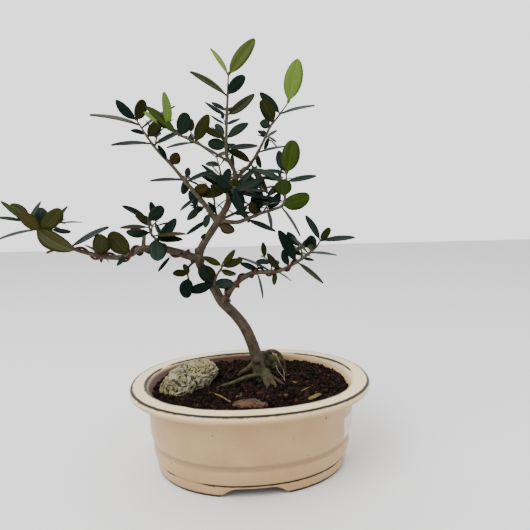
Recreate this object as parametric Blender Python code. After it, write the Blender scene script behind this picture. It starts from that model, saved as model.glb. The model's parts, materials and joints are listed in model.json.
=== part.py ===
"""Olive bonsai in an oval glazed pot.

The plant is modelled round the middle of its pot, with the pot's long side along X and its
front towards -Y. Every size in the tables is in millimetres, and MM turns it into metres.
A limb is a smooth tapering tube through a few bends. The inner share of a limb is the bare
bough, and the rest of it is the stem of a spray. A spray's leaves stand singly, each with its
own place and heading, or in opposite pairs that grow by a seeded rule, and its twigs and
leaves are fused into one solid.
"""
import math
import random
from dataclasses import dataclass

import bmesh
import bpy
from mathutils import Matrix, Vector
from mathutils.bvhtree import BVHTree

MM = 0.001
CAP_WELD = 0.000002             # joins a tube's caps to its wall, in metres
GAP = 0.3                       # clear space between touching pieces
UP = Vector((0.0, 0.0, 1.0))

# ---------------------------------------------------------------- pot and what fills it
RIM_HALF_LENGTH = 75.0
RIM_HALF_DEPTH = 57.8
RIM_TOP = 52.1
OVAL_POWER = 2.15               # 2 is an ellipse, more is squarer
OVAL_STEPS = 36
FLOOR_BOTTOM = 6.5
FLOOR_TOP = 10.5
WALL_FOOT_INSET = (19.0, 15.0)  # inner wall's inset from the rim, at the floor
WALL_HEAD_INSET = (14.5, 11.6)  # and just under the rim
WALL_HEAD = 46.0

# height, and inset from the rim's outer edge at the ends and at the front and back: from the
# underside up the outer wall, over the rim and down the inner wall
POT_PROFILE = (
    (FLOOR_BOTTOM, 23.0, 18.5), (0.0, 21.5, 17.5),
    (0.0, 16.2, 11.9), (0.8, 15.6, 11.3), (6.4, 14.7, 10.3),
    (7.2, 15.4, 11.0), (8.6, 14.1, 9.7), (13.0, 13.0, 8.6), (16.8, 13.1, 8.7),
    (18.4, 13.9, 9.5), (21.0, 12.3, 8.0), (26.0, 11.3, 7.0), (33.0, 11.4, 7.1), (44.0, 10.9, 6.5),
    (46.6, 10.0, 5.8), (47.2, 1.2, 1.2), (48.6, 0.1, 0.1), (50.8, 0.0, 0.0),
    (RIM_TOP, 1.2, 1.2), (RIM_TOP, 9.6, 9.6), (51.4, 10.4, 10.4),
    (WALL_HEAD, *WALL_HEAD_INSET), (FLOOR_TOP, *WALL_FOOT_INSET),
)
RECESS_LOW = (-23.0, 19.0)      # the cut in the foot, front and back: its ends at the bottom
RECESS_HIGH = (-14.5, 10.5)     # and at its top
RECESS_HEIGHT = 6.0
DRAIN_RADIUS = 5.0
DRAIN_PLACES = (-22.0, 22.0)

SOIL_TOP = 50.0
PLATEAU_CENTRE = (-1.0, -2.0)
PLATEAU_INSET = (42.0, 37.8)
SOIL_RINGS = ((47.2, 14.9, 12.0), (48.0, 19.0, 16.0), (49.2, 27.0, 23.0))

STONE_CENTRE = (-39.0, -3.0, 53.5)
STONE_HALF = (18.5, 12.0, 9.0)
STONE_TURN = (8.0, -16.0, 26.0)
STONE_ROUGHNESS = 0.11
STONE_SEED = 5

# ---------------------------------------------------------------- trunk, roots and boughs
TRUNK_BENDS = (
    (6, -2, 46), (4.5, -2, 59.5), (2.5, -1, 69.5), (-2.5, 0, 82.5), (-8.5, 1, 91.5),
    (-17, 1, 101), (-22, 1.5, 110), (-27.5, 2, 119.5), (-30.5, 2, 127.5), (-28, 3, 136),
    (-18.5, 4, 150), (-12, 5, 160.5), (-9.5, 5, 169.5),
)
TRUNK_RADII = (4.0, 1.9)
STUB_LIMB = "bough_left"        # carries a cut stub
STUB_ENDS = ((-61.5, -12, 135.5), (-60.5, -12, 144))
STUB_RADII = (1.3, 1.1)
ROOT_HEIGHT = 60.0              # where the roots leave the trunk
ROOT_RADII = (2.6, 0.9)
ROOT_ENDS = (
    (12, -17), (19, -12), (18, 6), (6, 13), (-8, 9), (-14, -3), (-24, -10),
)
GROUND = SOIL_TOP + GAP


@dataclass(frozen=True)
class Limb:
    """A limb through its bends, the radii of its ends and the share that is bare bough."""
    name: str
    bends: tuple
    radii: tuple
    bough: float


@dataclass(frozen=True)
class Shoot:
    """A side shoot: where it leaves its stem, where it ends, and its pairs of leaves."""
    at: float
    tip: tuple
    pairs: tuple
    leaf: tuple
    roll: float = 0.0


@dataclass(frozen=True)
class Blade:
    """A single leaf on a stem: its share along it, length, heading, rise, width and tilt.

    The heading runs from +X towards +Y and the rise up from level, both in degrees. The tilt
    turns the face from the front towards edge on.
    """
    at: float
    length: float
    heading: float
    rise: float
    width: float
    tilt: float = 0.0


@dataclass(frozen=True)
class Wire:
    """A training wire wound round a limb, with a free tail at its far end."""
    name: str
    limb: str
    start: float
    end: float
    turns: float
    phase: float
    tail: tuple = ()


@dataclass(frozen=True)
class Spray:
    """The leafy outer part of a limb: one stem, its pairs, shoots and single leaves.

    Pairs are given by their count and the shares of the stem where the first and last stand,
    and leaf gives the lengths at those two.
    """
    name: str
    limb: str
    seed: int
    pairs: tuple = (0, 0.0, 0.0)
    leaf: tuple = (0.0, 0.0)
    roll: float = 0.0
    turn: float = 90.0
    shoots: tuple = ()
    blades: tuple = ()


LIMBS = (
    Limb("leader", ((-9.5, 5, 170), (-7.5, 5, 176), (-7.5, 5, 181.5), (-10, 5, 186), (-12, 5, 192),
                    (-11.5, 4, 205.5), (-10.5, 3, 222.5), (-9.5, 3, 238.5)),
         (1.4, 0.6), 0.3),
    Limb("bough_left", ((-30.5, 1, 128), (-40, -4, 132), (-50.5, -8, 135.5), (-63, -12, 136),
                        (-71.5, -14, 132), (-82, -16, 132.5), (-91, -17, 135), (-100, -18, 138.5),
                        (-109, -19, 144.5), (-116.5, -20, 149.5), (-125.5, -20, 155.5)),
         (2.6, 0.6), 0.36),
    Limb("bough_diagonal", ((-18.5, 4, 149.5), (-24.5, 6, 159), (-31, 8, 167.5), (-38.5, 11, 176.5),
                            (-46.5, 14, 186.5), (-54.5, 17, 195), (-60.5, 19, 203.5),
                            (-68, 22, 216)),
         (1.8, 0.6), 0.22),
    Limb("bough_right", ((-17.5, 4, 151), (-7.5, 0, 150), (-2, -3, 151.5), (8, -8, 155.5),
                         (20, -12, 160), (21.5, -12, 170), (22.5, -12, 180)),
         (1.5, 0.6), 0.24),
    Limb("bough_low", ((-16.5, 0.5, 100), (-14, -3, 105), (-10.5, -5.5, 111), (-4, -8, 117),
                       (4, -10, 120.5), (14.5, -12, 120.5), (23.5, -14, 124), (31, -16, 129),
                       (37.5, -17, 134), (42, -18, 140.5)),
         (2.2, 0.6), 0.4),
    Limb("bough_lookout", ((-10, 5, 167), (-5.5, 7, 177), (2.5, 8, 185), (7, 10, 191.5),
                           (12, 12, 200.5), (16.5, 14, 209.5), (22, 16, 216), (29.5, 18, 226)),
         (1.3, 0.55), 0.3),
    Limb("riser", ((-51, -8, 136), (-54, -9, 141), (-57, -10.5, 145), (-57.5, -12, 149),
                   (-58, -13, 154)),
         (0.9, 0.55), 0.0),
    Limb("elbow", ((-30.5, 2, 128), (-35.5, -2, 125), (-37.5, -4, 121), (-36.5, -6, 117)),
         (1.0, 0.6), 0.0),
    Limb("crotch", ((-22, 1.5, 110), (-20.5, -4, 117), (-17, -8, 123), (-16, -12, 127.5)),
         (1.0, 0.6), 0.0),
    Limb("crest", ((-10.5, 5, 186.5), (-16, 1, 189.5), (-21.5, -3, 192.5), (-30, -7, 196.5),
                   (-39.5, -11, 200.5), (-46, -12, 204)),
         (1.0, 0.6), 0.0),
    Limb("heart", ((-11, 5, 164), (-9, -8, 168), (-9, -20, 171)),
         (1.1, 0.6), 0.0),
    Limb("back_crown", ((-12.5, 5, 160), (-12, 17, 168), (-15, 29, 180), (-18, 35, 194)),
         (1.1, 0.6), 0.0),
    Limb("back_low", ((-18.5, 5, 150), (-19, 15, 154), (-20, 25, 160), (-20, 34, 168)),
         (1.1, 0.6), 0.0),
    Limb("back_right", ((-17.5, 4, 151.5), (-8, 14, 155), (4, 24, 162), (12, 30, 172)),
         (1.1, 0.6), 0.0),
)

WIRES = (
    Wire("wire_left", "bough_left", 0.12, 0.70, 4.0, 200.0,
         ((-104, -20.5, 138.5), (-108, -20, 137.5), (-112, -19, 136))),
    Wire("wire_low", "bough_low", 0.17, 0.74, 4.0, 150.0),
)
WIRE_RADIUS = 0.75
WIRE_LIFT = WIRE_RADIUS + GAP + 0.2     # from a limb's bark to the wire's middle
WIRE_STEPS = 12                         # points in one turn
LIMB_STEPS = 6                          # points between two bends

SPRAYS = (
    Spray("spray_apex", "leader", 63, turn=8,
          shoots=(Shoot(0.06, (-13, 22, 204), (3, 0.35, 1.0), (11, 12), 40),
                  Shoot(0.14, (-11, 20, 220), (2, 0.5, 1.0), (10, 11), 10)),
          blades=(Blade(0.96, 26.8, -4, 54, 8.0), Blade(0.96, 18.8, 174, 62, 5.6, 45),
                  Blade(0.72, 25.1, -166, 34, 7.5, 40), Blade(0.73, 14.8, -16, 44, 6.5, 20),
                  Blade(0.48, 15, -168, 34, 4.5, 30), Blade(0.49, 20.5, -16, 36, 6.1, -5),
                  Blade(0.21, 16.2, -18, 32, 4.9, 10), Blade(0.21, 18, -164, 28, 5.4, 15),
                  Blade(0.12, 11.2, -166, 8, 6.5, -20), Blade(0.10, 19.4, -18, 6, 5.8, -35))),
    Spray("spray_left", "bough_left", 5,
          shoots=(Shoot(0.72, (-108, -6, 152), (3, 0.35, 1.0), (10, 11), 20),
                  Shoot(0.3, (-86, 0, 134), (2, 0.5, 1.0), (10, 11), 30)),
          blades=(Blade(0.85, 25.8, -26, -26, 9.1), Blade(0.55, 25.4, -16, 30, 7.6, -50),
                  Blade(0.04, 16.6, -132, 44, 9.6), Blade(0.29, 15.6, -70, 48, 8.9, 25),
                  Blade(0.94, 13.2, -162, 16, 4.0, 55), Blade(0.83, 19.2, -154, -8, 5.8, 60),
                  Blade(0.90, 17.1, 156, 44, 6.2, 10), Blade(0.80, 17.7, -26, 38, 7.6, 25),
                  Blade(0.96, 14.1, -166, 52, 4.2, 60), Blade(0.81, 13.5, -124, 42, 6.5, 10),
                  Blade(0.80, 17.1, 106, 54, 7.5, 20), Blade(0.91, 14.7, 54, 60, 4.4, -35),
                  Blade(0.76, 19.7, 40, 54, 5.9, -40))),
    Spray("spray_riser", "riser", 27,
          shoots=(Shoot(0.5, (-55, 0, 151), (2, 0.5, 1.0), (11, 12)),),
          blades=(Blade(0.96, 15.6, -166, 34, 4.7, 45), Blade(0.92, 11.6, -8, 40, 6.7, 15),
                  Blade(0.72, 16.1, -164, 6, 4.8, 50), Blade(0.56, 16, 166, 2, 5.1, -10),
                  Blade(0.30, 17.7, 24, 44, 5.8, 10), Blade(0.45, 19.7, -16, 8, 5.9, -55),
                  Blade(0.30, 16.2, -90, -48, 9.4, -10), Blade(0.30, 16.3, -22, 4, 4.9, -30))),
    Spray("spray_elbow", "elbow", 11,
          blades=(Blade(0.81, 8.9, -158, 8, 4.1, -5), Blade(0.96, 12.2, -112, -68, 7.6, -5),
                  Blade(0.85, 8, -112, 58, 3.5))),
    Spray("spray_crotch", "crotch", 61,
          blades=(Blade(0.20, 17.5, -158, -12, 5.9, -5), Blade(0.20, 15.4, -132, 42, 8.8, -5),
                  Blade(0.20, 13, -36, 2, 6.0, 5), Blade(0.81, 13.8, -28, 18, 4.7, 5),
                  Blade(0.84, 12.5, -162, 28, 3.8, -5), Blade(0.89, 11.7, -20, 48, 3.5),
                  Blade(0.68, 10.4, -28, -12, 3.5, 5), Blade(0.35, 9.6, -126, 44, 2.9, -5))),
    Spray("spray_low", "bough_low", 60,
          shoots=(Shoot(0.62, (30, -6, 135), (3, 0.35, 1.0), (10, 11), 50),
                  Shoot(0.2, (10, 2, 128), (2, 0.5, 1.0), (10, 11), 10)),
          blades=(Blade(0.55, 22.1, -154, 60, 6.6, 15), Blade(0.96, 20.1, -12, 10, 6.0, -50),
                  Blade(0.56, 19.9, -18, -34, 6.0, -50), Blade(0.19, 22, 170, 30, 6.6, 70),
                  Blade(0.96, 17, 166, 64, 5.1, 30), Blade(0.96, 9.5, -42, 50, 4.1, -5),
                  Blade(0.76, 18.3, 14, -2, 5.5, -60), Blade(0.32, 14.4, -156, 54, 4.3, 5),
                  Blade(0.00, 16.3, -24, -72, 4.9, -65), Blade(0.44, 10.8, -134, 58, 4.1, -15),
                  Blade(0.23, 8.4, -108, -58, 3.0, 5), Blade(0.27, 12.7, 22, -28, 3.8, -60),
                  Blade(0.74, 15.9, -152, 44, 4.8, 55), Blade(0.68, 12.5, 154, 22, 3.8, 40),
                  Blade(0.80, 11.4, -108, 48, 6.4, -20), Blade(0.87, 12.3, -122, 20, 3.7, -5),
                  Blade(0.64, 7.2, -26, -6, 2.2, -25))),
    Spray("spray_diagonal", "bough_diagonal", 69,
          shoots=(Shoot(0.65, (-50, 32, 212), (3, 0.35, 1.0), (11, 13), 60),
                  Shoot(0.2, (-36, 26, 178), (3, 0.35, 1.0), (11, 12), 15)),
          blades=(Blade(0.92, 32.5, 170, 18, 9.8, 55), Blade(0.96, 16.9, -164, 44, 5.7, -10),
                  Blade(0.96, 13.2, -36, 62, 6.9, 20), Blade(0.88, 26.1, 16, 40, 7.8, -55),
                  Blade(0.70, 24.3, -170, 2, 7.3, 50), Blade(0.68, 20.9, -12, 28, 6.3, -40),
                  Blade(0.00, 18, -24, 0, 6.0, 15), Blade(0.23, 20.5, -172, 4, 6.1, 55),
                  Blade(0.77, 14.2, -38, 38, 6.6, 25), Blade(0.80, 9.4, -172, 18, 2.8, 10),
                  Blade(0.47, 11.4, -128, 52, 3.4, 25), Blade(0.42, 12, -64, 26, 6.5, 35),
                  Blade(0.21, 19.7, -24, 22, 5.9, -45), Blade(0.09, 11.2, -42, 10, 6.6, 25),
                  Blade(0.00, 14.6, -156, -30, 4.4, 50))),
    Spray("spray_crest", "crest", 60,
          shoots=(Shoot(0.45, (-33, 10, 205), (2, 0.5, 1.0), (9, 10)),),
          blades=(Blade(0.96, 20, -90, 84, 6.0, 45), Blade(0.83, 21.8, -154, 42, 6.6, 35),
                  Blade(0.94, 18.7, 164, 40, 5.6, 35), Blade(0.78, 13, -54, 64, 7.7, 10),
                  Blade(0.58, 17.4, -32, 56, 6.7, 15), Blade(0.58, 16.3, -170, -6, 4.9, 50),
                  Blade(0.96, 7.9, -142, 30, 2.4, 5))),
    Spray("spray_lookout", "bough_lookout", 42,
          shoots=(Shoot(0.4, (17, 28, 203), (3, 0.35, 1.0), (10, 11), 30),),
          blades=(Blade(0.96, 28.5, 2, 76, 10.8), Blade(0.78, 19.5, 162, 50, 5.8, 5),
                  Blade(0.79, 24.4, 10, 20, 7.3, -50), Blade(0.62, 15.8, -138, 52, 8.0, -20),
                  Blade(0.20, 20.6, 12, 18, 6.2, -55), Blade(0.04, 16.1, -162, 28, 4.8, 10),
                  Blade(0.57, 9.5, -134, 6, 5.5, -35), Blade(0.18, 10.5, 60, -58, 3.2, 15),
                  Blade(0.01, 21.9, -34, -54, 6.6, -40))),
    Spray("spray_heart", "heart", 17,
          blades=(Blade(0.58, 20.5, -8, 24, 6.2, -15), Blade(0.60, 21.6, -10, -8, 6.5, -45),
                  Blade(0.40, 24.7, 174, 50, 7.4, 55), Blade(0.52, 14.4, -154, 14, 4.5, -20),
                  Blade(0.82, 17.2, -54, -62, 5.3, 5), Blade(0.69, 21.6, 168, 22, 6.5, 40),
                  Blade(0.77, 13.3, -150, 32, 5.5, -15), Blade(0.74, 20.3, -18, 0, 6.1, -55),
                  Blade(0.44, 20.4, 172, 46, 6.1, 45), Blade(0.44, 25.3, 26, 36, 7.6, -50),
                  Blade(0.94, 9.9, -86, 16, 6.5, 55))),
    Spray("spray_right", "bough_right", 51,
          shoots=(Shoot(0.3, (12, 4, 165), (2, 0.5, 1.0), (11, 12), 20),
                  Shoot(0.7, (19, 4, 175), (2, 0.5, 1.0), (10, 11), 70)),
          blades=(Blade(0.96, 19.7, 0, 78, 9.9, -5), Blade(0.56, 16.9, -16, 18, 8.8, 10),
                  Blade(0.68, 10.8, -106, 56, 9.8, -15), Blade(0.86, 18, -14, 14, 5.4, -40),
                  Blade(0.85, 20.6, -168, 26, 6.2, 40), Blade(0.06, 19.2, -14, -18, 5.8, -45),
                  Blade(0.55, 21.1, -18, -52, 6.3, -60), Blade(0.05, 19.6, -146, 64, 5.9, 35),
                  Blade(0.21, 10.3, -118, 44, 5.2, -15), Blade(0.62, 17.4, -174, 10, 5.2, 35),
                  Blade(0.96, 16.6, 120, 62, 5.4, -15), Blade(0.19, 16, -78, 64, 7.0, -5),
                  Blade(0.96, 14.6, 160, 14, 4.4, 40))),
    Spray("spray_back_crown", "back_crown", 21, (5, 0.3, 1.0), (13, 15), 30,
          shoots=(Shoot(0.5, (-2, 34, 184), (3, 0.3, 1.0), (12, 13)),)),
    Spray("spray_back_low", "back_low", 23, (4, 0.35, 1.0), (11, 13), 60,
          shoots=(Shoot(0.5, (-31, 20, 160), (2, 0.6, 1.0), (11, 12), 40),)),
    Spray("spray_back_right", "back_right", 41, (5, 0.3, 1.0), (12, 14), 10,
          shoots=(Shoot(0.5, (14, 14, 158), (2, 0.6, 1.0), (11, 13), 20),)),
)

LEAF_WIDTH_SHARE = 0.38
LEAF_SPLAY = 58.0               # degrees between a leaf and its twig
LEAF_DROOP = 0.10               # share of its length that a tip sinks
PETIOLE_HALF = 0.42
LEAF_ROOM = 0.18                # clear space kept round a leaf
LIGHT = Vector((0.1, -0.7, 0.6))  # the side that the faces of paired leaves turn to
AXIS_PULL = 0.4                 # how far they still face along their twig
FRONT = Vector((0.0, -1.0, 0.25))  # the side that single leaves face when they aren't tilted
LAST_LEAF = 0.965               # share of a twig past which no leaf is rooted
STEEP = 0.9                     # a twig this upright is measured from +Y, not from up
SHOOT_RADII = (0.6, 0.45)
SHOOT_BOW = 0.12
STEM_STEP = 7.0
BOUGH_STEP = 3.0
# turns about the twig that are tried till a leaf is clear, in degrees: of a paired leaf, and
# of a single one, which is also moved by shares along its stem
NUDGES = (0.0, 18.0, -18.0, 36.0, -36.0, 60.0, -60.0)
BLADE_NUDGES = (0.0, 6.0, -6.0, 12.0, -12.0)
BLADE_SHIFTS = (0.0, 0.02, -0.02, 0.04, -0.04, 0.06, -0.06)
# share of length, half width as a share of the widest, half thickness
LEAF_SECTIONS = ((0.0, 0.0, 0.40), (0.3, 0.92, 0.36), (0.74, 0.88, 0.28))


# ---------------------------------------------------------------- general helpers
def clear_scene():
    for thing in list(bpy.data.objects):
        bpy.data.objects.remove(thing, do_unlink=True)


def new_collection(name):
    collection = bpy.data.collections.new(name)
    bpy.context.scene.collection.children.link(collection)
    return collection


def metres(point):
    return Vector(point) * MM


def plain_material(name, colour, roughness, metallic=0.0):
    material = bpy.data.materials.new(name)
    material.use_nodes = True
    shader = material.node_tree.nodes["Principled BSDF"]
    shader.inputs["Base Color"].default_value = (*colour, 1.0)
    shader.inputs["Roughness"].default_value = roughness
    shader.inputs["Metallic"].default_value = metallic
    return material


def mesh_object(name, mesh, collection):
    thing = bpy.data.objects.new(name, mesh)
    collection.objects.link(thing)
    return thing


def object_from_bmesh(name, shape, collection):
    mesh = bpy.data.meshes.new(name)
    shape.to_mesh(mesh)
    shape.free()
    return mesh_object(name, mesh, collection)


def as_plain_mesh(thing, name, collection, weld=0.0):
    """Swap an object for a mesh of its evaluated shape, in place and welded if asked."""
    bpy.context.view_layer.update()
    evaluated = thing.evaluated_get(bpy.context.evaluated_depsgraph_get())
    mesh = bpy.data.meshes.new_from_object(evaluated)
    mesh.transform(thing.matrix_world)
    bpy.data.objects.remove(thing, do_unlink=True)
    if weld:
        shape = bmesh.new()
        shape.from_mesh(mesh)
        bmesh.ops.remove_doubles(shape, verts=shape.verts, dist=weld)
        shape.to_mesh(mesh)
        shape.free()
    mesh.name = name
    return mesh_object(name, mesh, collection)


def boolean(thing, operation, tool, solver="EXACT"):
    """Add a Boolean with an object, or with a whole collection of them."""
    modifier = thing.modifiers.new(operation.lower(), "BOOLEAN")
    modifier.operation = operation
    modifier.solver = solver
    if isinstance(tool, bpy.types.Collection):
        modifier.operand_type = "COLLECTION"
        modifier.collection = tool
    else:
        modifier.object = tool


def keep_largest_body(thing):
    """Drop loose scraps and sealed hollows that a Boolean left."""
    shape = bmesh.new()
    shape.from_mesh(thing.data)
    waiting = set(shape.faces)
    bodies = []
    while waiting:
        front = [waiting.pop()]
        body = list(front)
        while front:
            face = front.pop()
            for edge in face.edges:
                for other in edge.link_faces:
                    if other in waiting:
                        waiting.remove(other)
                        front.append(other)
                        body.append(other)
        bodies.append(body)
    bodies.sort(key=len)
    scraps = [face for body in bodies[:-1] for face in body]
    bmesh.ops.delete(shape, geom=scraps, context="FACES")
    bmesh.ops.triangulate(shape, faces=shape.faces)
    shape.to_mesh(thing.data)
    shape.free()


def loft(rings):
    """A closed body through rings of equal count, with both ends capped."""
    shape = bmesh.new()
    loops = [[shape.verts.new(point) for point in ring] for ring in rings]
    for lower, upper in zip(loops, loops[1:]):
        for i in range(len(lower)):
            j = (i + 1) % len(lower)
            shape.faces.new((lower[i], lower[j], upper[j], upper[i]))
    shape.faces.new(list(reversed(loops[0])))
    shape.faces.new(loops[-1])
    return shape


# ---------------------------------------------------------------- paths and tubes
def smooth_path(bends, steps):
    """Points on a Catmull-Rom curve through the bends, in metres."""
    points = [metres(bend) for bend in bends]
    points.insert(0, points[0] * 2 - points[1])
    points.append(points[-1] * 2 - points[-2])
    path = []
    for a, b, c, d in zip(points, points[1:], points[2:], points[3:]):
        for step in range(steps):
            t = step / steps
            path.append(0.5 * (2 * b + (c - a) * t + (2 * a - 5 * b + 4 * c - d) * t ** 2
                               + (3 * b - a - 3 * c + d) * t ** 3))
    path.append(points[-2])
    return path


def path_length(path):
    return sum((b - a).length for a, b in zip(path, path[1:]))


def along(path, share):
    """Point and direction at a share of the path's length."""
    left = share * path_length(path)
    for a, b in zip(path, path[1:]):
        span = (b - a).length
        if left <= span:
            return a.lerp(b, left / span), (b - a).normalized()
        left -= span
    return path[-1].copy(), (path[-1] - path[-2]).normalized()


def piece_of_path(path, start, end, count):
    return [along(path, start + (end - start) * i / count)[0] for i in range(count + 1)]


def tube(name, path, radii, resolution, collection):
    """A tapering tube with capped ends; radii in millimetres, one for each point."""
    curve = bpy.data.curves.new(name, "CURVE")
    curve.dimensions = "3D"
    curve.bevel_depth = MM
    curve.bevel_resolution = resolution
    curve.use_fill_caps = True
    spline = curve.splines.new("POLY")
    spline.points.add(len(path) - 1)
    for point, place, radius in zip(spline.points, path, radii):
        point.co = (*place, 1.0)
        point.radius = radius
    thing = bpy.data.objects.new(name, curve)
    collection.objects.link(thing)
    thing = as_plain_mesh(thing, name, collection, CAP_WELD)
    bpy.data.curves.remove(curve)
    return thing


def taper(start, end, count):
    return [start + (end - start) * i / (count - 1) for i in range(count)]


# ---------------------------------------------------------------- pot, soil and stone
def oval_ring(height, end_inset, side_inset, centre=(0.0, 0.0)):
    """A level ring, set in from the rim's outer edge at its ends and its long sides."""
    ring = []
    for step in range(OVAL_STEPS):
        angle = 2 * math.pi * step / OVAL_STEPS
        c, s = math.cos(angle), math.sin(angle)
        x = (RIM_HALF_LENGTH - end_inset) * math.copysign(abs(c) ** (2 / OVAL_POWER), c)
        y = (RIM_HALF_DEPTH - side_inset) * math.copysign(abs(s) ** (2 / OVAL_POWER), s)
        ring.append(metres((centre[0] + x, centre[1] + y, height)))
    return ring


def recess_cutter(cutters):
    """A long wedge along Y, wide at the bottom, that opens the foot front and back."""
    rings = []
    for y in (-RIM_HALF_DEPTH, RIM_HALF_DEPTH):
        (left, right), (high_left, high_right) = RECESS_LOW, RECESS_HIGH
        rings.append([metres((x, y, z)) for x, z in (
            (left, -1.0), (left, 0.0), (high_left, RECESS_HEIGHT),
            (high_right, RECESS_HEIGHT), (right, 0.0), (right, -1.0))])
    return object_from_bmesh("foot_recess", loft(rings), cutters)


def drain_cutter(x, cutters):
    shape = bmesh.new()
    bmesh.ops.create_cone(shape, cap_ends=True, segments=24, radius1=DRAIN_RADIUS * MM,
                          radius2=DRAIN_RADIUS * MM, depth=2 * FLOOR_TOP * MM)
    bmesh.ops.translate(shape, verts=shape.verts, vec=metres((x, 0, FLOOR_TOP)))
    return object_from_bmesh("drain_hole", shape, cutters)


def make_pot(parts, cutters, material):
    pot = object_from_bmesh("pot", loft([oval_ring(*row) for row in POT_PROFILE]), parts)
    boolean(pot, "DIFFERENCE", recess_cutter(cutters))
    for x in DRAIN_PLACES:
        boolean(pot, "DIFFERENCE", drain_cutter(x, cutters))
    pot.data.materials.append(material)
    return pot


def soil_shape(lift=0.0):
    clearance = GAP + 0.1
    rings = [oval_ring(FLOOR_TOP + GAP, *(inset + clearance for inset in WALL_FOOT_INSET))]
    rings += [oval_ring(z + lift, ends, sides) for z, ends, sides in SOIL_RINGS]
    rings.append(oval_ring(SOIL_TOP + lift, *PLATEAU_INSET, PLATEAU_CENTRE))
    return loft(rings)


def make_soil(parts, material):
    soil = object_from_bmesh("soil", soil_shape(), parts)
    soil.data.materials.append(material)
    return soil


def make_stone(parts, cutters, material):
    """A knobbly lump, cut where it beds on the soil."""
    dice = random.Random(STONE_SEED)
    shape = bmesh.new()
    bmesh.ops.create_icosphere(shape, subdivisions=2, radius=1.0)
    for vert in shape.verts:
        vert.co *= 1.0 + dice.uniform(-STONE_ROUGHNESS, STONE_ROUGHNESS)
    turn = Matrix.Identity(3)
    for angle, axis in zip(STONE_TURN, "XYZ"):
        turn = Matrix.Rotation(math.radians(angle), 3, axis) @ turn
    for vert in shape.verts:
        shaped = Vector(vert.co[i] * STONE_HALF[i] for i in range(3))
        vert.co = metres(Vector(STONE_CENTRE) + turn @ shaped)
    stone = object_from_bmesh("stone", shape, parts)
    boolean(stone, "DIFFERENCE", object_from_bmesh("stone_bed", soil_shape(lift=GAP), cutters))
    stone.data.materials.append(material)
    return stone


# ---------------------------------------------------------------- trunk, boughs and wires
def make_trunk(parts, cutters, material):
    """The trunk with its surface roots fused on, cut flat at the soil."""
    path = smooth_path(TRUNK_BENDS, 2)
    trunk = tube("trunk", path, taper(*TRUNK_RADII, len(path)), 4, parts)
    roots = new_collection("roots")
    crown = next(point for point in path if point.z > ROOT_HEIGHT * MM)
    for index, (x, y) in enumerate(ROOT_ENDS):
        foot = metres((x, y, SOIL_TOP))
        bend = crown.lerp(foot, 0.45)
        bend.z = (SOIL_TOP + 2.4) * MM
        route = smooth_path([crown / MM, bend / MM, foot / MM], 3)
        tube(f"root_{index}", route, taper(*ROOT_RADII, len(route)), 1, roots)
    boolean(trunk, "UNION", roots)
    below = bmesh.new()
    bmesh.ops.create_cube(below, size=1.0)
    bmesh.ops.scale(below, verts=below.verts, vec=metres((90, 90, 40)))
    bmesh.ops.translate(below, verts=below.verts, vec=metres((0, 0, GROUND - 20)))
    boolean(trunk, "DIFFERENCE", object_from_bmesh("ground", below, cutters))
    trunk = as_plain_mesh(trunk, "trunk", parts)
    for root in list(roots.objects):
        bpy.data.objects.remove(root, do_unlink=True)
    bpy.data.collections.remove(roots)
    keep_largest_body(trunk)
    trunk.data.materials.append(material)
    return path


def add_clearance(name, path, radii, clearances):
    """Add the limb grown by the gap, to cut what grows out of it clear of its bark."""
    longer = list(path)
    longer[0] = path[0] + (path[0] - path[1]).normalized() * GAP * MM
    longer[-1] = path[-1] + (path[-1] - path[-2]).normalized() * GAP * MM
    tube("clear_" + name, longer, [radius + GAP for radius in radii], 4, clearances)


def make_bough(limb, path, clearances, parts, material):
    """The bare inner share of a limb, cut clear of the trunk and of the limbs before it."""
    count = max(4, round(limb.bough * path_length(path) / (BOUGH_STEP * MM)))
    inner = piece_of_path(path, 0.0, limb.bough, count)
    start, end = limb.radii
    radii = taper(start, start + (end - start) * limb.bough, len(inner))
    bough = tube(limb.name, inner, radii, 3, parts)
    if limb.name == STUB_LIMB:
        stub = tube("stub", [metres(end) for end in STUB_ENDS], STUB_RADII, 2, parts)
        boolean(bough, "UNION", stub)
        bough = as_plain_mesh(bough, limb.name, parts)
        bpy.data.objects.remove(stub, do_unlink=True)
    boolean(bough, "DIFFERENCE", clearances)
    bough = as_plain_mesh(bough, limb.name, parts)
    keep_largest_body(bough)
    bough.data.materials.append(material)
    return inner, radii


def coil(limb, path, wire):
    """Points of a wire wound round a limb's path."""
    count = round(wire.turns * WIRE_STEPS)
    points = []
    for i in range(count + 1):
        share = wire.start + (wire.end - wire.start) * i / count
        place, direction = along(path, share)
        radius = limb.radii[0] + (limb.radii[1] - limb.radii[0]) * share + WIRE_LIFT
        side = direction.cross(UP).normalized()
        angle = math.radians(wire.phase + 360.0 * wire.turns * i / count)
        turned = side * math.cos(angle) + side.cross(direction) * math.sin(angle)
        points.append(place + turned * radius * MM)
    return points


def make_wire(wire, limb, path, parts, material):
    points = coil(limb, path, wire) + [metres(place) for place in wire.tail]
    thing = tube(wire.name, points, [WIRE_RADIUS] * len(points), 0, parts)
    thing.data.materials.append(material)


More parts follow.
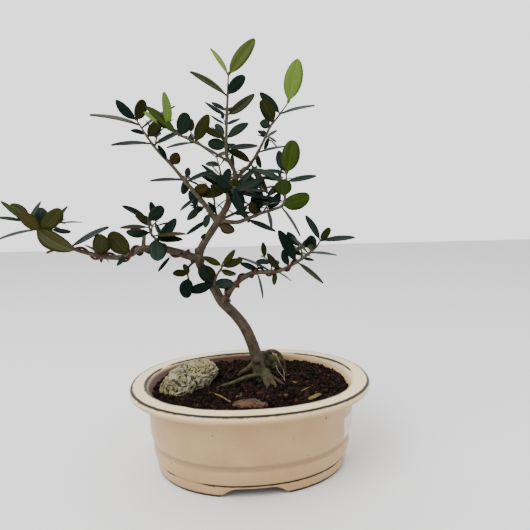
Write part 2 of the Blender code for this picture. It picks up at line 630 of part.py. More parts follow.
# ---------------------------------------------------------------- leaves
def leaf_shape(base, direction, face, length, width, spare=0.0, first=0):
    """A thin lens along the direction, arched away from its face; spare grows it all round."""
    side = direction.cross(face).normalized()
    shape = bmesh.new()
    loops = []
    for share, half_width, half_thick in LEAF_SECTIONS[first:]:
        centre = base + (direction * share - face * LEAF_DROOP * share ** 2) * length * MM
        out = side * (max(PETIOLE_HALF, half_width * width / 2) + spare) * MM
        up = face * (half_thick + spare) * MM
        loops.append([shape.verts.new(p) for p in (centre + out, centre - up, centre - out, centre + up)])
    tip = shape.verts.new(base + (direction - face * LEAF_DROOP) * (length + spare) * MM)
    for lower, upper in zip(loops, loops[1:]):
        for i in range(4):
            j = (i + 1) % 4
            shape.faces.new((lower[i], lower[j], upper[j], upper[i]))
    for i in range(4):
        shape.faces.new((loops[-1][i], loops[-1][(i + 1) % 4], tip))
    shape.faces.new(list(reversed(loops[0])))
    bmesh.ops.triangulate(shape, faces=shape.faces)
    return shape


def tree_of(shape):
    tree = BVHTree.FromBMesh(shape)
    shape.free()
    return tree


def tree_of_object(thing):
    shape = bmesh.new()
    bpy.context.view_layer.update()
    shape.from_object(thing, bpy.context.evaluated_depsgraph_get())
    return tree_of(shape)


class Foliage:
    """One spray while it grows: its twigs first, then leaves where there is room."""

    def __init__(self, spray, limb, path):
        self.spray = spray
        self.limb = limb
        self.dice = random.Random(spray.seed)
        self.pieces = new_collection(spray.name + "_pieces")
        clear = GAP * MM / path_length(path) if limb.bough else 0.0
        count = max(4, round((1 - limb.bough) * path_length(path) / (STEM_STEP * MM)))
        self.stem = piece_of_path(path, limb.bough + clear, 1.0, count)
        start, end = limb.radii
        radii = taper(start + (end - start) * limb.bough, end, len(self.stem))
        self.twigs = [tube(spray.name, self.stem, radii, 0, self.pieces)]
        self.shoots = []
        self.leaves = 0
        self.skipped = 0

    def add_shoots(self):
        for index, shoot in enumerate(self.spray.shoots):
            start, direction = along(self.stem, shoot.at)
            tip = metres(shoot.tip)
            middle = start.lerp(tip, 0.5) + direction * (tip - start).length * SHOOT_BOW
            route = smooth_path([start / MM, middle / MM, tip / MM], 2)
            twig = tube(f"{self.spray.name}_shoot_{index}", route,
                        taper(*SHOOT_RADII, len(route)), 0, self.pieces)
            self.twigs.append(twig)
            self.shoots.append((shoot, route))

    def place_leaf(self, base, axis, direction, face, length, width, nudges, others, own):
        """Add a leaf at the first of its turns about the twig that is clear, or skip it."""
        for nudge in nudges:
            turn = Matrix.Rotation(math.radians(nudge), 3, axis)
            toward, facing = turn @ direction, turn @ face
            whole = tree_of(leaf_shape(base, toward, facing, length, width, LEAF_ROOM))
            blade = tree_of(leaf_shape(base, toward, facing, length, width, LEAF_ROOM, 1))
            if any(whole.overlap(tree) for tree in others) or any(blade.overlap(tree) for tree in own):
                continue
            name = f"{self.spray.name}_leaf_{self.leaves}"
            object_from_bmesh(name, leaf_shape(base, toward, facing, length, width), self.pieces)
            own.append(blade)
            self.leaves += 1
            return True
        return False

    def add_blade(self, blade, others, own):
        """A single leaf from its stem towards its own tip, moved along the stem if need be."""
        heading, rise = math.radians(blade.heading), math.radians(blade.rise)
        direction = Vector((math.cos(heading) * math.cos(rise),
                            math.sin(heading) * math.cos(rise), math.sin(rise)))
        face = (FRONT - direction * FRONT.dot(direction)).normalized()
        face = Matrix.Rotation(math.radians(blade.tilt), 3, direction) @ face
        for shift in BLADE_SHIFTS:
            base, axis = along(self.stem, max(0.0, min(blade.at + shift, LAST_LEAF)))
            if self.place_leaf(base, axis, direction, face, blade.length, blade.width,
                               BLADE_NUDGES, others, own):
                return
        self.skipped += 1

    def add_pairs(self, path, pairs, leaf, roll, turn, others, own):
        """Opposite leaves along a twig, each pair turned from the one below."""
        count, first, last = pairs
        for k in range(count):
            step = k / max(1, count - 1)
            base, axis = along(path, min(first + (last - first) * step, LAST_LEAF))
            across = axis.cross(UP if abs(axis.z) < STEEP else Vector((0.0, 1.0, 0.0))).normalized()
            length = leaf[0] + (leaf[1] - leaf[0]) * step
            for half_turn in (0.0, 180.0):
                angle = math.radians(roll + turn * k + half_turn + self.dice.uniform(-14.0, 14.0))
                splay = math.radians(LEAF_SPLAY + self.dice.uniform(-14.0, 12.0))
                long = length * self.dice.uniform(0.85, 1.15)
                wide = long * LEAF_WIDTH_SHARE * self.dice.uniform(0.85, 1.15)
                twist = math.radians(self.dice.uniform(-35.0, 35.0))
                outward = Matrix.Rotation(angle, 3, axis) @ across
                direction = (axis * math.cos(splay) + outward * math.sin(splay)).normalized()
                face = axis * AXIS_PULL + LIGHT
                face = (face - direction * face.dot(direction)).normalized()
                face = Matrix.Rotation(twist, 3, direction) @ face
                if not self.place_leaf(base, axis, direction, face, long, wide, NUDGES, others, own):
                    self.skipped += 1

    def grow_leaves(self, others):
        own = [tree_of_object(twig) for twig in self.twigs]
        spray = self.spray
        for blade in spray.blades:
            self.add_blade(blade, others, own)
        self.add_pairs(self.stem, spray.pairs, spray.leaf, spray.roll, spray.turn, others, own)
        for shoot, route in self.shoots:
            self.add_pairs(route, shoot.pairs, shoot.leaf, shoot.roll, spray.turn, others, own)
        return own

    def fuse(self, clearances, parts, material):
        """Join twigs and leaves into one body, cut clear of the limbs where it sets out."""
        stem = self.twigs[0]
        self.pieces.objects.unlink(stem)
        parts.objects.link(stem)
        boolean(stem, "UNION", self.pieces, solver="MANIFOLD")
        boolean(stem, "DIFFERENCE", clearances, solver="MANIFOLD")
        mass = as_plain_mesh(stem, self.spray.name, parts)
        for piece in list(self.pieces.objects):
            bpy.data.objects.remove(piece, do_unlink=True)
        bpy.data.collections.remove(self.pieces)
        keep_largest_body(mass)
        mass.data.materials.clear()
        mass.data.materials.append(material)
        mass.data.polygons.foreach_set("material_index", [0] * len(mass.data.polygons))


# ---------------------------------------------------------------- the whole plant
def centre_on_ground(parts, guides):
    """Hang everything under an empty, so that the box's bottom centre is the origin."""
    bpy.context.view_layer.update()
    graph = bpy.context.evaluated_depsgraph_get()
    low = Vector((math.inf,) * 3)
    high = -low
    for thing in parts.objects:
        for corner in thing.evaluated_get(graph).bound_box:
            place = thing.matrix_world @ Vector(corner)
            low = Vector(map(min, low, place))
            high = Vector(map(max, high, place))
    origin = bpy.data.objects.new("plant_origin", None)
    bpy.context.scene.collection.objects.link(origin)
    origin.location = (-(low.x + high.x) / 2, -(low.y + high.y) / 2, -low.z)
    for thing in (*parts.objects, *guides):
        thing.parent = origin


def main():
    clear_scene()
    parts = new_collection("olive_bonsai")
    cutters = new_collection("cutters")
    clearances = new_collection("clearances")
    glaze = plain_material("glaze", (0.72, 0.66, 0.55), 0.32)
    earth = plain_material("earth", (0.035, 0.022, 0.016), 0.95)
    lime = plain_material("lime", (0.42, 0.41, 0.36), 0.9)
    bark = plain_material("bark", (0.16, 0.12, 0.085), 0.85)
    copper = plain_material("copper", (0.30, 0.10, 0.06), 0.4, 0.8)
    green = plain_material("green", (0.035, 0.065, 0.022), 0.5)

    make_pot(parts, cutters, glaze)
    make_soil(parts, earth)
    make_stone(parts, cutters, lime)
    trunk_path = make_trunk(parts, cutters, bark)
    add_clearance("trunk", trunk_path, taper(*TRUNK_RADII, len(trunk_path)), clearances)
    limbs = {limb.name: limb for limb in LIMBS}
    paths = {limb.name: smooth_path(limb.bends, LIMB_STEPS) for limb in LIMBS}
    for limb in LIMBS:
        if limb.bough:
            inner, radii = make_bough(limb, paths[limb.name], clearances, parts, bark)
            add_clearance(limb.name, inner, radii, clearances)
    for wire in WIRES:
        make_wire(wire, limbs[wire.limb], paths[wire.limb], parts, copper)

    sprays = [Foliage(spray, limbs[spray.limb], paths[spray.limb]) for spray in SPRAYS]
    for spray in sprays:
        spray.add_shoots()
    solid = [tree_of_object(thing) for thing in parts.objects]
    twigs = {spray: [tree_of_object(twig) for twig in spray.twigs] for spray in sprays}
    grown = []
    for spray in sprays:
        foreign = [tree for other in sprays if other is not spray for tree in twigs[other]]
        grown += spray.grow_leaves(solid + foreign + grown)
    for spray in sprays:
        spray.fuse(clearances, parts, green)
        print(spray.spray.name, "leaves", spray.leaves, "skipped", spray.skipped)

    guides = (*cutters.objects, *clearances.objects)
    for guide in guides:
        guide.hide_render = True
        guide.display_type = "WIRE"
    centre_on_ground(parts, guides)


main()
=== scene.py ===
"""The finished look of an olive bonsai in its oval glazed pot.

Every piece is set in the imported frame. Sizes in the tables are in millimetres, measured from
the middle of the pot at the level its foot stands on, with the pot's long side along X and its
front towards -Y. Shapes are worked out there in metres, and each finished piece is then moved
to the pot's place in the frame. Limbs, twigs and leaves grow by the same seeded rule as the
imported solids, and a leaf that the solids leave out is left out here too.
"""
import itertools
import json
import logging
import math
import random
from dataclasses import dataclass, replace
from enum import Enum
from typing import Iterable, Mapping, Sequence

import bmesh
import bpy
import numpy as np
from bmesh.types import BMesh, BMVert
from bpy.types import Collection, Material, Mesh, Node, NodeSocket, NodeTree, Object
from mathutils import Matrix, Vector, noise
from mathutils.kdtree import KDTree

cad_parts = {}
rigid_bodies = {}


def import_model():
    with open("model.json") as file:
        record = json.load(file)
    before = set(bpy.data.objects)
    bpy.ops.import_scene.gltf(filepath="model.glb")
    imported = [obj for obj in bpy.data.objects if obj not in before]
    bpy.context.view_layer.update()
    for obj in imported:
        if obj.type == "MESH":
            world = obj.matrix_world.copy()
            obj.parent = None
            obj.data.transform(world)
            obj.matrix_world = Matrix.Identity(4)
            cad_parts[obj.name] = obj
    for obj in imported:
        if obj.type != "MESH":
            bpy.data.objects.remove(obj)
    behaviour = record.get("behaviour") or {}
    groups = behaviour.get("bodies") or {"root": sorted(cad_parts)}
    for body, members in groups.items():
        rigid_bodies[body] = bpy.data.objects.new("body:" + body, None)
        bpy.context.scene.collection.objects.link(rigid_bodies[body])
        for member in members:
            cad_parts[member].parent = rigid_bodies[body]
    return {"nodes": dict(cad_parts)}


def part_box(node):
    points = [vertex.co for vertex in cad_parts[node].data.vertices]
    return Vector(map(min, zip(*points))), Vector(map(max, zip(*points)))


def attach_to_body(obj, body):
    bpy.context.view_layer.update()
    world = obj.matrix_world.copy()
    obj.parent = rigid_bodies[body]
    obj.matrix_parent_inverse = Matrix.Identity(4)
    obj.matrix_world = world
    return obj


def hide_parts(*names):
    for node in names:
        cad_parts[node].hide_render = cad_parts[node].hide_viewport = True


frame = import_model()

log = logging.getLogger("olive_bonsai")

MM = 0.001
UP = Vector((0.0, 0.0, 1.0))
STEEP = 0.9                         # a direction that rises more than this is taken as upright
BODY = "root"
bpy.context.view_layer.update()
POT_LOW, POT_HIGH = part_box("pot")
ORIGIN = Vector(((POT_LOW.x + POT_HIGH.x) / 2, (POT_LOW.y + POT_HIGH.y) / 2, POT_LOW.z))
Colour = tuple[float, float, float]
WHITE = (1.0, 1.0, 1.0)
Point = tuple[float, float, float]
Value = NodeSocket | float
Paint = NodeSocket | Colour
Sockets = Mapping[str, NodeSocket]
Lines = Sequence[tuple[Sequence[Vector], Sequence[float]]]      # for each its points and its radii


# ---------------------------------------------------------------- shapes
def metres(point: Iterable[float]) -> Vector:
    """A table's millimetres as metres."""
    return Vector(point) * MM


def smooth_path(bends: Sequence[Point], steps: int) -> list[Vector]:
    """Points on a Catmull-Rom curve through some bends.

    Args:
        bends: The points it passes through, in millimetres.
        steps: Points from one bend to the next.

    Returns:
        The curve's points, in metres.
    """
    points = [metres(bend) for bend in bends]
    points.insert(0, points[0] * 2 - points[1])
    points.append(points[-1] * 2 - points[-2])
    path = []
    for a, b, c, d in zip(points, points[1:], points[2:], points[3:]):
        for step in range(steps):
            t = step / steps
            path.append(0.5 * (2 * b + (c - a) * t + (2 * a - 5 * b + 4 * c - d) * t ** 2
                               + (3 * b - a - 3 * c + d) * t ** 3))
    path.append(points[-2])
    return path


def path_length(path: Sequence[Vector]) -> float:
    """The length of a path of straight stretches."""
    return sum((b - a).length for a, b in zip(path, path[1:]))


def along(path: Sequence[Vector], share: float) -> tuple[Vector, Vector]:
    """Find a place on a path.

    Args:
        path: The points it runs through.
        share: How far along it, from 0 to 1.

    Returns:
        The point there and the direction of the path.
    """
    left = share * path_length(path)
    for a, b in zip(path, path[1:]):
        span = (b - a).length
        if left <= span:
            return a.lerp(b, left / span), (b - a).normalized()
        left -= span
    return path[-1].copy(), (path[-1] - path[-2]).normalized()


def piece_of_path(path: Sequence[Vector], start: float, end: float, count: int) -> list[Vector]:
    """Points that cut a stretch of a path, from one share to another, into equal steps."""
    return [along(path, start + (end - start) * i / count)[0] for i in range(count + 1)]


def taper(start: float, end: float, count: int) -> list[float]:
    """Evenly falling radii, one for each point of a path."""
    return [start + (end - start) * i / (count - 1) for i in range(count)]


def turned(vector: Vector, degrees: float, axis: Vector) -> Vector:
    """A vector turned about an axis."""
    return Matrix.Rotation(math.radians(degrees), 3, axis) @ vector


def square_to(vector: Vector, axis: Vector) -> Vector:
    """The direction square to an axis that is nearest to a vector."""
    return (vector - axis * vector.dot(axis)).normalized()


def rounded(points: Sequence[Sequence[float]], radius: float) -> list[Vector]:
    """Round the corners of an open line.

    Args:
        points: Its corners, all of the same number of values.
        radius: How far from each corner the bend starts.

    Returns:
        The line with five points in place of each corner, and its ends kept.
    """
    line = [Vector(points[0])]
    for before, corner, after in zip(map(Vector, points), map(Vector, points[1:]), map(Vector, points[2:])):
        start, end = (corner.lerp(other, min(0.45, radius / (other - corner).length))
                      for other in (before, after))
        for t in (0.0, 0.25, 0.5, 0.75, 1.0):
            line.append(start * (1 - t) ** 2 + corner * (2 * t * (1 - t)) + end * t ** 2)
    line.append(Vector(points[-1]))
    return line


def add_object(name: str, data: bpy.types.ID) -> Object:
    """Put a mesh, a light or a camera in the scene."""
    thing = bpy.data.objects.new(name, data)
    bpy.context.scene.collection.objects.link(thing)
    return thing


def to_mesh(name: str, shape: BMesh, outward: bool = False) -> Mesh:
    """Turn a bmesh into a mesh and free it, first with its faces turned outward if that is asked."""
    if outward:
        bmesh.ops.recalc_face_normals(shape, faces=shape.faces)
    mesh = bpy.data.meshes.new(name)
    shape.to_mesh(mesh)
    shape.free()
    return mesh


def from_bmesh(name: str, shape: BMesh, outward: bool = False) -> Object:
    """Turn a bmesh into an object of the scene."""
    return add_object(name, to_mesh(name, shape, outward))


def skin(shape: BMesh, loops: Sequence[Sequence[BMVert]]) -> None:
    """Join closed rings of corners, each to the next, with four-sided faces."""
    for lower, upper in zip(loops, loops[1:]):
        for k in range(len(lower)):
            n = (k + 1) % len(lower)
            shape.faces.new((lower[k], lower[n], upper[n], upper[k]))


def attach(mesh: Mesh, name: str, kind: str, values: Sequence[float]) -> None:
    """Give every point of a mesh an attribute."""
    part = "vector" if kind == "FLOAT_VECTOR" else "value"
    mesh.attributes.new(name, kind, "POINT").data.foreach_set(part, values)


def flatten(thing: Object) -> Object:
    """Swap an object for a plain mesh of its evaluated shape.

    Args:
        thing: The object, which is removed.

    Returns:
        An object of the same name with no modifiers.
    """
    bpy.context.view_layer.update()
    evaluated = thing.evaluated_get(bpy.context.evaluated_depsgraph_get())
    mesh = bpy.data.meshes.new_from_object(evaluated)
    name = thing.name
    bpy.data.objects.remove(thing, do_unlink=True)
    return add_object(name, mesh)


def shade(thing: Object, crease: float) -> Object:
    """Shade a mesh smooth, with edges sharper than the crease angle kept."""
    thing.data.shade_smooth()
    thing.data.set_sharp_from_angle(angle=math.radians(crease))
    return thing


def settle(thing: Object, nodes: Sequence[str] = ()) -> Object:
    """Move a finished mesh to its place in the frame and say what it stands for.

    Args:
        thing: The piece, whose mesh is measured from the middle of the pot.
        nodes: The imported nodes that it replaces.

    Returns:
        The same piece.
    """
    thing.data.transform(Matrix.Translation(ORIGIN))
    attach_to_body(thing, BODY)
    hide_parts(*nodes)
    thing.data.calc_loop_triangles()
    log.info("%s: %d triangles, replaces %s", thing.name, len(thing.data.loop_triangles),
             ", ".join(nodes) or "nothing")
    return thing


@dataclass
class Tube:
    """A round rod of changing radius along a path."""
    path: list[Vector]
    radii: list[float]          # millimetres, one for each point
    sides: int = 10

    def frames(self) -> list[tuple[Vector, Vector, Vector]]:
        """Directions along and across the path at each point, with no twist between them."""
        found = []
        last = len(self.path) - 1
        normal = None
        for i in range(len(self.path)):
            direction = (self.path[min(i + 1, last)] - self.path[max(i - 1, 0)]).normalized()
            if normal is None:
                normal = direction.cross(UP if abs(direction.z) < STEEP else Vector((1, 0, 0)))
            normal = square_to(normal, direction)
            found.append((direction, normal, direction.cross(normal)))
        return found

    def add_to(self, shape: BMesh) -> None:
        """Add the rod to a bmesh as one closed body."""
        loops = []
        turns = [2 * math.pi * k / self.sides for k in range(self.sides)]
        for place, radius, (_, normal, other) in zip(self.path, self.radii, self.frames()):
            loops.append([shape.verts.new(
                place + (normal * math.cos(turn) + other * math.sin(turn)) * radius * MM) for turn in turns])
        skin(shape, loops)
        shape.faces.new(list(reversed(loops[0])))
        shape.faces.new(loops[-1])


# ---------------------------------------------------------------- node trees
class Bench:
    """Adds nodes to one tree and joins them."""

    def __init__(self, tree: NodeTree) -> None:
        """Work on a tree."""
        self.tree = tree

    def add(self, kind: str, inputs: dict | None = None, **settings) -> Node:
        """Add a node.

        Args:
            kind: Blender's name for the node's type.
            inputs: Its inputs by name or number, each a value or another node's output.
            settings: Its other properties.

        Returns:
            The node.
        """
        node = self.tree.nodes.new(kind)
        for key, value in settings.items():
            setattr(node, key, value)
        for key, value in (inputs or {}).items():
            if isinstance(value, NodeSocket):
                self.tree.links.new(value, node.inputs[key])
            else:
                node.inputs[key].default_value = value
        return node

    def math(self, operation: str, a: Value, b: Value = 0.0, c: Value = 0.0) -> NodeSocket:
        """A Math node's result, from values or outputs."""
        return self.add("ShaderNodeMath", {0: a, 1: b, 2: c}, operation=operation).outputs[0]

    def ramp(self, value: Value, low: Value, high: Value, to_low: float = 0.0,
             to_high: float = 1.0) -> NodeSocket:
        """A smooth step from low to high, as a mask or between two numbers."""
        inputs = {"Value": value, "From Min": low, "From Max": high, "To Min": to_low, "To Max": to_high}
        return self.add("ShaderNodeMapRange", inputs, interpolation_type="SMOOTHSTEP").outputs[0]

    def mix(self, mask: Value, low: Paint, high: Paint) -> NodeSocket:
        """One colour laid over another by a mask from 0 to 1."""
        low, high = ((*paint, 1.0) if isinstance(paint, tuple) else paint for paint in (low, high))
        return self.add("ShaderNodeMix", {0: mask, 6: low, 7: high}, data_type="RGBA").outputs[2]

    def over(self, colour: Paint, tint: Paint, mask: NodeSocket, strength: Value) -> NodeSocket:
        """A colour with a tint laid over it by a mask of some strength."""
        return self.mix(self.math("MULTIPLY", mask, strength), colour, tint)

    def noise(self, place: NodeSocket, scale: Value, detail: float) -> NodeSocket:
        """A noise texture's value."""
        return self.add("ShaderNodeTexNoise", {"Vector": place, "Scale": scale, "Detail": detail}).outputs[0]

    def mottle(self, place: NodeSocket, scale: float, low: Colour = WHITE, high: Colour = WHITE,
               detail: float = 4.0, softness: float = 0.15) -> Sequence[NodeSocket]:
        """The shared mottle of two colours: its colour and its mask."""
        inputs = {"Vector": place, "Scale": scale, "Detail": detail, "Softness": softness,
                  "Low": (*low, 1.0), "High": (*high, 1.0)}
        return self.add("ShaderNodeGroup", inputs, node_tree=MOTTLE).outputs

    def specks(self, place: NodeSocket, scale: float, size: float, share: float) -> NodeSocket:
        """The mask of the shared specks."""
        inputs = {"Vector": place, "Scale": scale, "Size": size, "Share": share}
        return self.add("ShaderNodeGroup", inputs, node_tree=SPECKS).outputs[0]

    def axis(self, place: NodeSocket, index: int) -> NodeSocket:
        """One of a vector's three parts."""
        return self.add("ShaderNodeSeparateXYZ", {0: place}).outputs[index]

    def coordinates(self, output: str = "Object") -> NodeSocket:
        """The piece's own coordinates."""
        return self.add("ShaderNodeTexCoord").outputs[output]

    def named(self, name: str, kind: str) -> NodeSocket:
        """One of the points' attributes, in a Geometry Nodes tree."""
        return self.add("GeometryNodeInputNamedAttribute", {"Name": name}, data_type=kind).outputs[0]

    def attribute(self, name: str, output: str) -> NodeSocket:
        """One of the mesh's attributes."""
        return self.add("ShaderNodeAttribute", attribute_name=name).outputs[output]


def shared_group(name: str, inputs: dict[str, object],
                 outputs: dict[str, str]) -> tuple[NodeTree, Bench, Sockets, Sockets]:
    """Start a shader node group.

    Args:
        name: The group's name.
        inputs: Each input's name and default, whose type is its socket's type.
        outputs: Each output's name and socket type.

    Returns:
        The group, its bench, and the nodes that hold its inputs and outputs.
    """
    group = bpy.data.node_groups.new(name, "ShaderNodeTree")
    for label, default in inputs.items():
        if isinstance(default, float):
            kind = "NodeSocketFloat"
        else:
            kind = "NodeSocketColor" if len(default) == 4 else "NodeSocketVector"
        group.interface.new_socket(label, in_out="INPUT", socket_type=kind).default_value = default
    for label, kind in outputs.items():
        group.interface.new_socket(label, in_out="OUTPUT", socket_type=kind)
    bench = Bench(group)
    return group, bench, bench.add("NodeGroupInput").outputs, bench.add("NodeGroupOutput").inputs


def make_mottle() -> NodeTree:
    """A cloudy blend of two colours, for anything that isn't one even tone."""
    group, bench, ins, outs = shared_group(
        "mottle", {"Vector": (0.0, 0.0, 0.0), "Scale": 100.0, "Detail": 4.0, "Softness": 0.15,
                   "Low": (*WHITE, 1.0), "High": (*WHITE, 1.0)},
        {"Colour": "NodeSocketColor", "Mask": "NodeSocketFloat"})
    cloud = bench.add("ShaderNodeTexNoise", {"Vector": ins["Vector"], "Scale": ins["Scale"],
                                             "Detail": ins["Detail"], "Roughness": 0.6}).outputs[0]
    mask = bench.ramp(cloud, bench.math("SUBTRACT", 0.5, ins["Softness"]),
                      bench.math("ADD", 0.5, ins["Softness"]))
    group.links.new(bench.mix(mask, ins["Low"], ins["High"]), outs["Colour"])
    group.links.new(mask, outs["Mask"])
    return group


def make_specks() -> NodeTree:
    """Scattered round dots, such as iron spots in a glaze or grit in stone."""
    group, bench, ins, outs = shared_group(
        "specks", {"Vector": (0.0, 0.0, 0.0), "Scale": 100.0, "Size": 0.1, "Share": 0.5},
        {"Mask": "NodeSocketFloat"})
    cells = bench.add("ShaderNodeTexVoronoi", {"Vector": ins["Vector"], "Scale": ins["Scale"]})
    pick = bench.add("ShaderNodeSeparateColor", {0: cells.outputs["Color"]}).outputs
    size = bench.math("MULTIPLY", ins["Size"], bench.math("ADD", pick[1], 0.3))
    dot = bench.ramp(cells.outputs["Distance"], size, bench.math("MULTIPLY", size, 0.5))
    chosen = bench.math("LESS_THAN", pick[0], ins["Share"])
    group.links.new(bench.math("MULTIPLY", dot, chosen), outs["Mask"])
    return group


def make_line() -> NodeTree:
    """An uneven line along an edge, thick in places and missing in others."""
    group, bench, ins, outs = shared_group(
        "edge line", {"Vector": (0.0, 0.0, 0.0), "Across": 0.0, "Place": 0.0, "Width": 0.005,
                      "Share": 0.7, "Scale": 40.0},
        {"Mask": "NodeSocketFloat"})
    broad = bench.noise(ins["Vector"], ins["Scale"], 2.0)
    fine = bench.noise(ins["Vector"], bench.math("MULTIPLY", ins["Scale"], 12.0), 3.0)
    limit = bench.math("SUBTRACT", 1.0, ins["Share"])
    here = bench.ramp(broad, bench.math("SUBTRACT", limit, 0.06), bench.math("ADD", limit, 0.1))
    shake = bench.math("MULTIPLY", bench.math("SUBTRACT", fine, 0.5), 0.6)
    wavering = bench.math("MULTIPLY_ADD", shake, ins["Width"], ins["Across"])
    away = bench.math("ABSOLUTE", bench.math("SUBTRACT", wavering, ins["Place"]))
    width = bench.math("MULTIPLY", ins["Width"], bench.math("MULTIPLY_ADD", here, 0.8, 0.2))
    line = bench.ramp(away, width, bench.math("MULTIPLY", width, 0.35))
    group.links.new(bench.math("MULTIPLY", line, bench.ramp(here, 0.0, 0.5)), outs["Mask"])
    return group


MOTTLE = make_mottle()
SPECKS = make_specks()
EDGE_LINE = make_line()


# ---------------------------------------------------------------- finishes
@dataclass(frozen=True)
class Finish:
    """A finish by name. Each kind says how its shader is fed."""
    name: str

    def material(self) -> Material:
        """Build the Blender material."""
        material = bpy.data.materials.new(self.name)
        material.use_nodes = True
        self.dress(Bench(material.node_tree), material.node_tree.nodes["Principled BSDF"])
        return material

    def dress(self, bench: Bench, shader: Node) -> None:
        """Feed the shader's inputs."""
        raise NotImplementedError

    def feed(self, bench: Bench, shader: Node, **inputs) -> None:
        """Set or join the shader's inputs, with _ for a space in their names."""
        for key, value in inputs.items():
            socket = shader.inputs[key.replace("_", " ")]
            if isinstance(value, NodeSocket):
                bench.tree.links.new(value, socket)
            elif isinstance(value, tuple):
                socket.default_value = (*value, 1.0)
            else:
                socket.default_value = value

    def bump(self, bench: Bench, place: NodeSocket, scale: float, detail: float, depth: float) -> NodeSocket:
        """A normal from a noise, whose full range is a depth in millimetres."""
        inputs = {"Height": bench.noise(place, scale, detail), "Distance": depth * MM, "Strength": 1.0}
        return bench.add("ShaderNodeBump", inputs).outputs[0]


@dataclass(frozen=True)
class Glaze(Finish):
    """Cream stoneware glaze that breaks to blue-black on its edges, over a red body, with a painted
    highlight on its rim top, painted shade in its upper groove and a bare inside darkened as painted shade.
    """
    cream: Colour = (0.45, 0.270, 0.112)
    pale: Colour = (0.51, 0.325, 0.148)
    rim: Colour = (0.86, 0.68, 0.36)
    iron: Colour = (0.05, 0.035, 0.03)
    edge: Colour = (0.005, 0.006, 0.011)
    speck_and_groove_shade: Colour = (0.35, 0.215, 0.105)
    clay_and_inner_shade: Colour = (0.105, 0.048, 0.034)
    rim_highlight_heights: tuple[float, float] = (0.0478, 0.0515)             # metres up, where the painted highlight on the rim top starts and where it is full
    glazed_inside: tuple[float, float] = (0.012, 0.040)     # metres along X, where the bare inside ends; the bare inside is partly painted shade

    def dress(self, bench: Bench, shader: Node) -> None:
        """Feed the shader's inputs."""
        place = bench.coordinates()
        across = bench.axis(bench.coordinates("UV"), 1)
        colour = bench.mottle(place, 38.0, self.cream, self.pale, 3.0, 0.2)[0]
        # painted highlight: the rim top is made paler by height, for the light that falls on it from above
        colour = bench.over(colour, self.rim, bench.ramp(bench.axis(place, 2), *self.rim_highlight_heights), 0.85)
        colour = bench.over(colour, self.speck_and_groove_shade, bench.specks(place, 1100.0, 0.55, 0.4), 0.16)
        bright = 1.0
        # the upper groove's soft band is painted shade; the other lines are the glaze breaking blue-black on
        # its edges
        for row, width, share, tint in ((PotBody.GROOVES[0], 0.027, 0.97, self.speck_and_groove_shade),
                                        (PotBody.GROOVES[1], 0.010, 0.54, self.edge),
                                        (PotBody.FOOT_EDGE, 0.013, 0.80, self.edge),
                                        (PotBody.RIM_EDGE, 0.0155, 0.90, self.edge),
                                        (PotBody.INNER_EDGE, 0.017, 0.60, self.edge)):
            inputs = {"Vector": place, "Across": across, "Place": PotBody.mark(row), "Width": width,
                      "Share": share, "Scale": 26.0}
            line = bench.add("ShaderNodeGroup", inputs, node_tree=EDGE_LINE).outputs[0]
            colour = bench.over(colour, tint, line, 0.97)
            if tint == self.edge:
                bright = bench.math("MULTIPLY", bright, bench.math("SUBTRACT", 1.0, line))
        for scale, size, share in ((95.0, 0.08, 0.6), (210.0, 0.10, 0.3), (420.0, 0.15, 0.16)):
            colour = bench.over(colour, self.iron, bench.specks(place, scale, size, share), 0.8)
        inner, foot = PotBody.mark(PotBody.BARE), PotBody.mark(PotBody.FOOT_EDGE)
        # painted shade: the inside is left bare towards the left end, in a dark clay colour that also stands
        # for its shade
        glazed = bench.ramp(bench.math("SUBTRACT", bench.axis(place, 0), ORIGIN.x), *self.glazed_inside)
        inside = bench.math("MULTIPLY", bench.ramp(across, inner - 0.01, inner + 0.02),
                            bench.math("SUBTRACT", 1.0, glazed))
        bare = bench.math("MAXIMUM", inside, bench.ramp(across, foot - 0.02, foot - 0.03))
        self.feed(bench, shader, Base_Color=bench.mix(bare, colour, self.clay_and_inner_shade), Coat_Roughness=0.15,
                  Coat_Weight=bench.math("MULTIPLY", bright, 0.12),
                  Specular_IOR_Level=bench.math("MULTIPLY_ADD", bright, 0.4, 0.1),
                  Roughness=bench.math("MULTIPLY_ADD", bare, 0.45, 0.38),
                  Normal=self.bump(bench, place, 220.0, 5.0, 0.12))


@dataclass(frozen=True)
class Earth(Finish):
    """Crumbs and grit: one tone, darker in its damp patches."""
    dry: Colour
    damp: Colour
    scale: float = 260.0
    roughness: float = 0.92

    def dress(self, bench: Bench, shader: Node) -> None:
        """Feed the shader's inputs."""
        place = bench.coordinates()
        tone = bench.mottle(place, self.scale, self.damp, self.dry, softness=0.12)[0]
        self.feed(bench, shader, Base_Color=tone, Roughness=self.roughness, Specular_IOR_Level=0.1,
                  Normal=self.bump(bench, place, 1600.0, 4.0, 0.5))


@dataclass(frozen=True)
class Limestone(Finish):
    """Weathered limestone: chalky ridges, yellow stains, dark specks, and painted shade in its pits and
    clefts.
    """
    chalk: Colour = (0.39, 0.345, 0.235)
    grey: Colour = (0.155, 0.135, 0.09)
    stain: Colour = (0.29, 0.26, 0.085)
    pit: Colour = (0.030, 0.028, 0.022)

    def dress(self, bench: Bench, shader: Node) -> None:
        """Feed the shader's inputs."""
        place = bench.coordinates()
        tone = bench.mottle(place, 190.0, self.grey, self.chalk, 6.0, 0.12)[0]
        patch = bench.mottle(place, 75.0, detail=2.0, softness=0.08)[1]
        tone = bench.over(tone, self.stain, patch, 0.55)
        # painted shade: the sunken places of the relief are darkened towards the pit colour
        crack_shade = bench.ramp(bench.attribute("relief", "Fac"), 0.16, -0.30, 0.0, 0.95)
        tone = bench.mix(crack_shade, tone, self.pit)
        tone = bench.over(tone, self.pit, bench.specks(place, 520.0, 0.35, 0.3), 0.6)
        self.feed(bench, shader, Base_Color=tone, Roughness=0.9, Specular_IOR_Level=0.3,
                  Normal=self.bump(bench, place, 900.0, 5.0, 0.7))


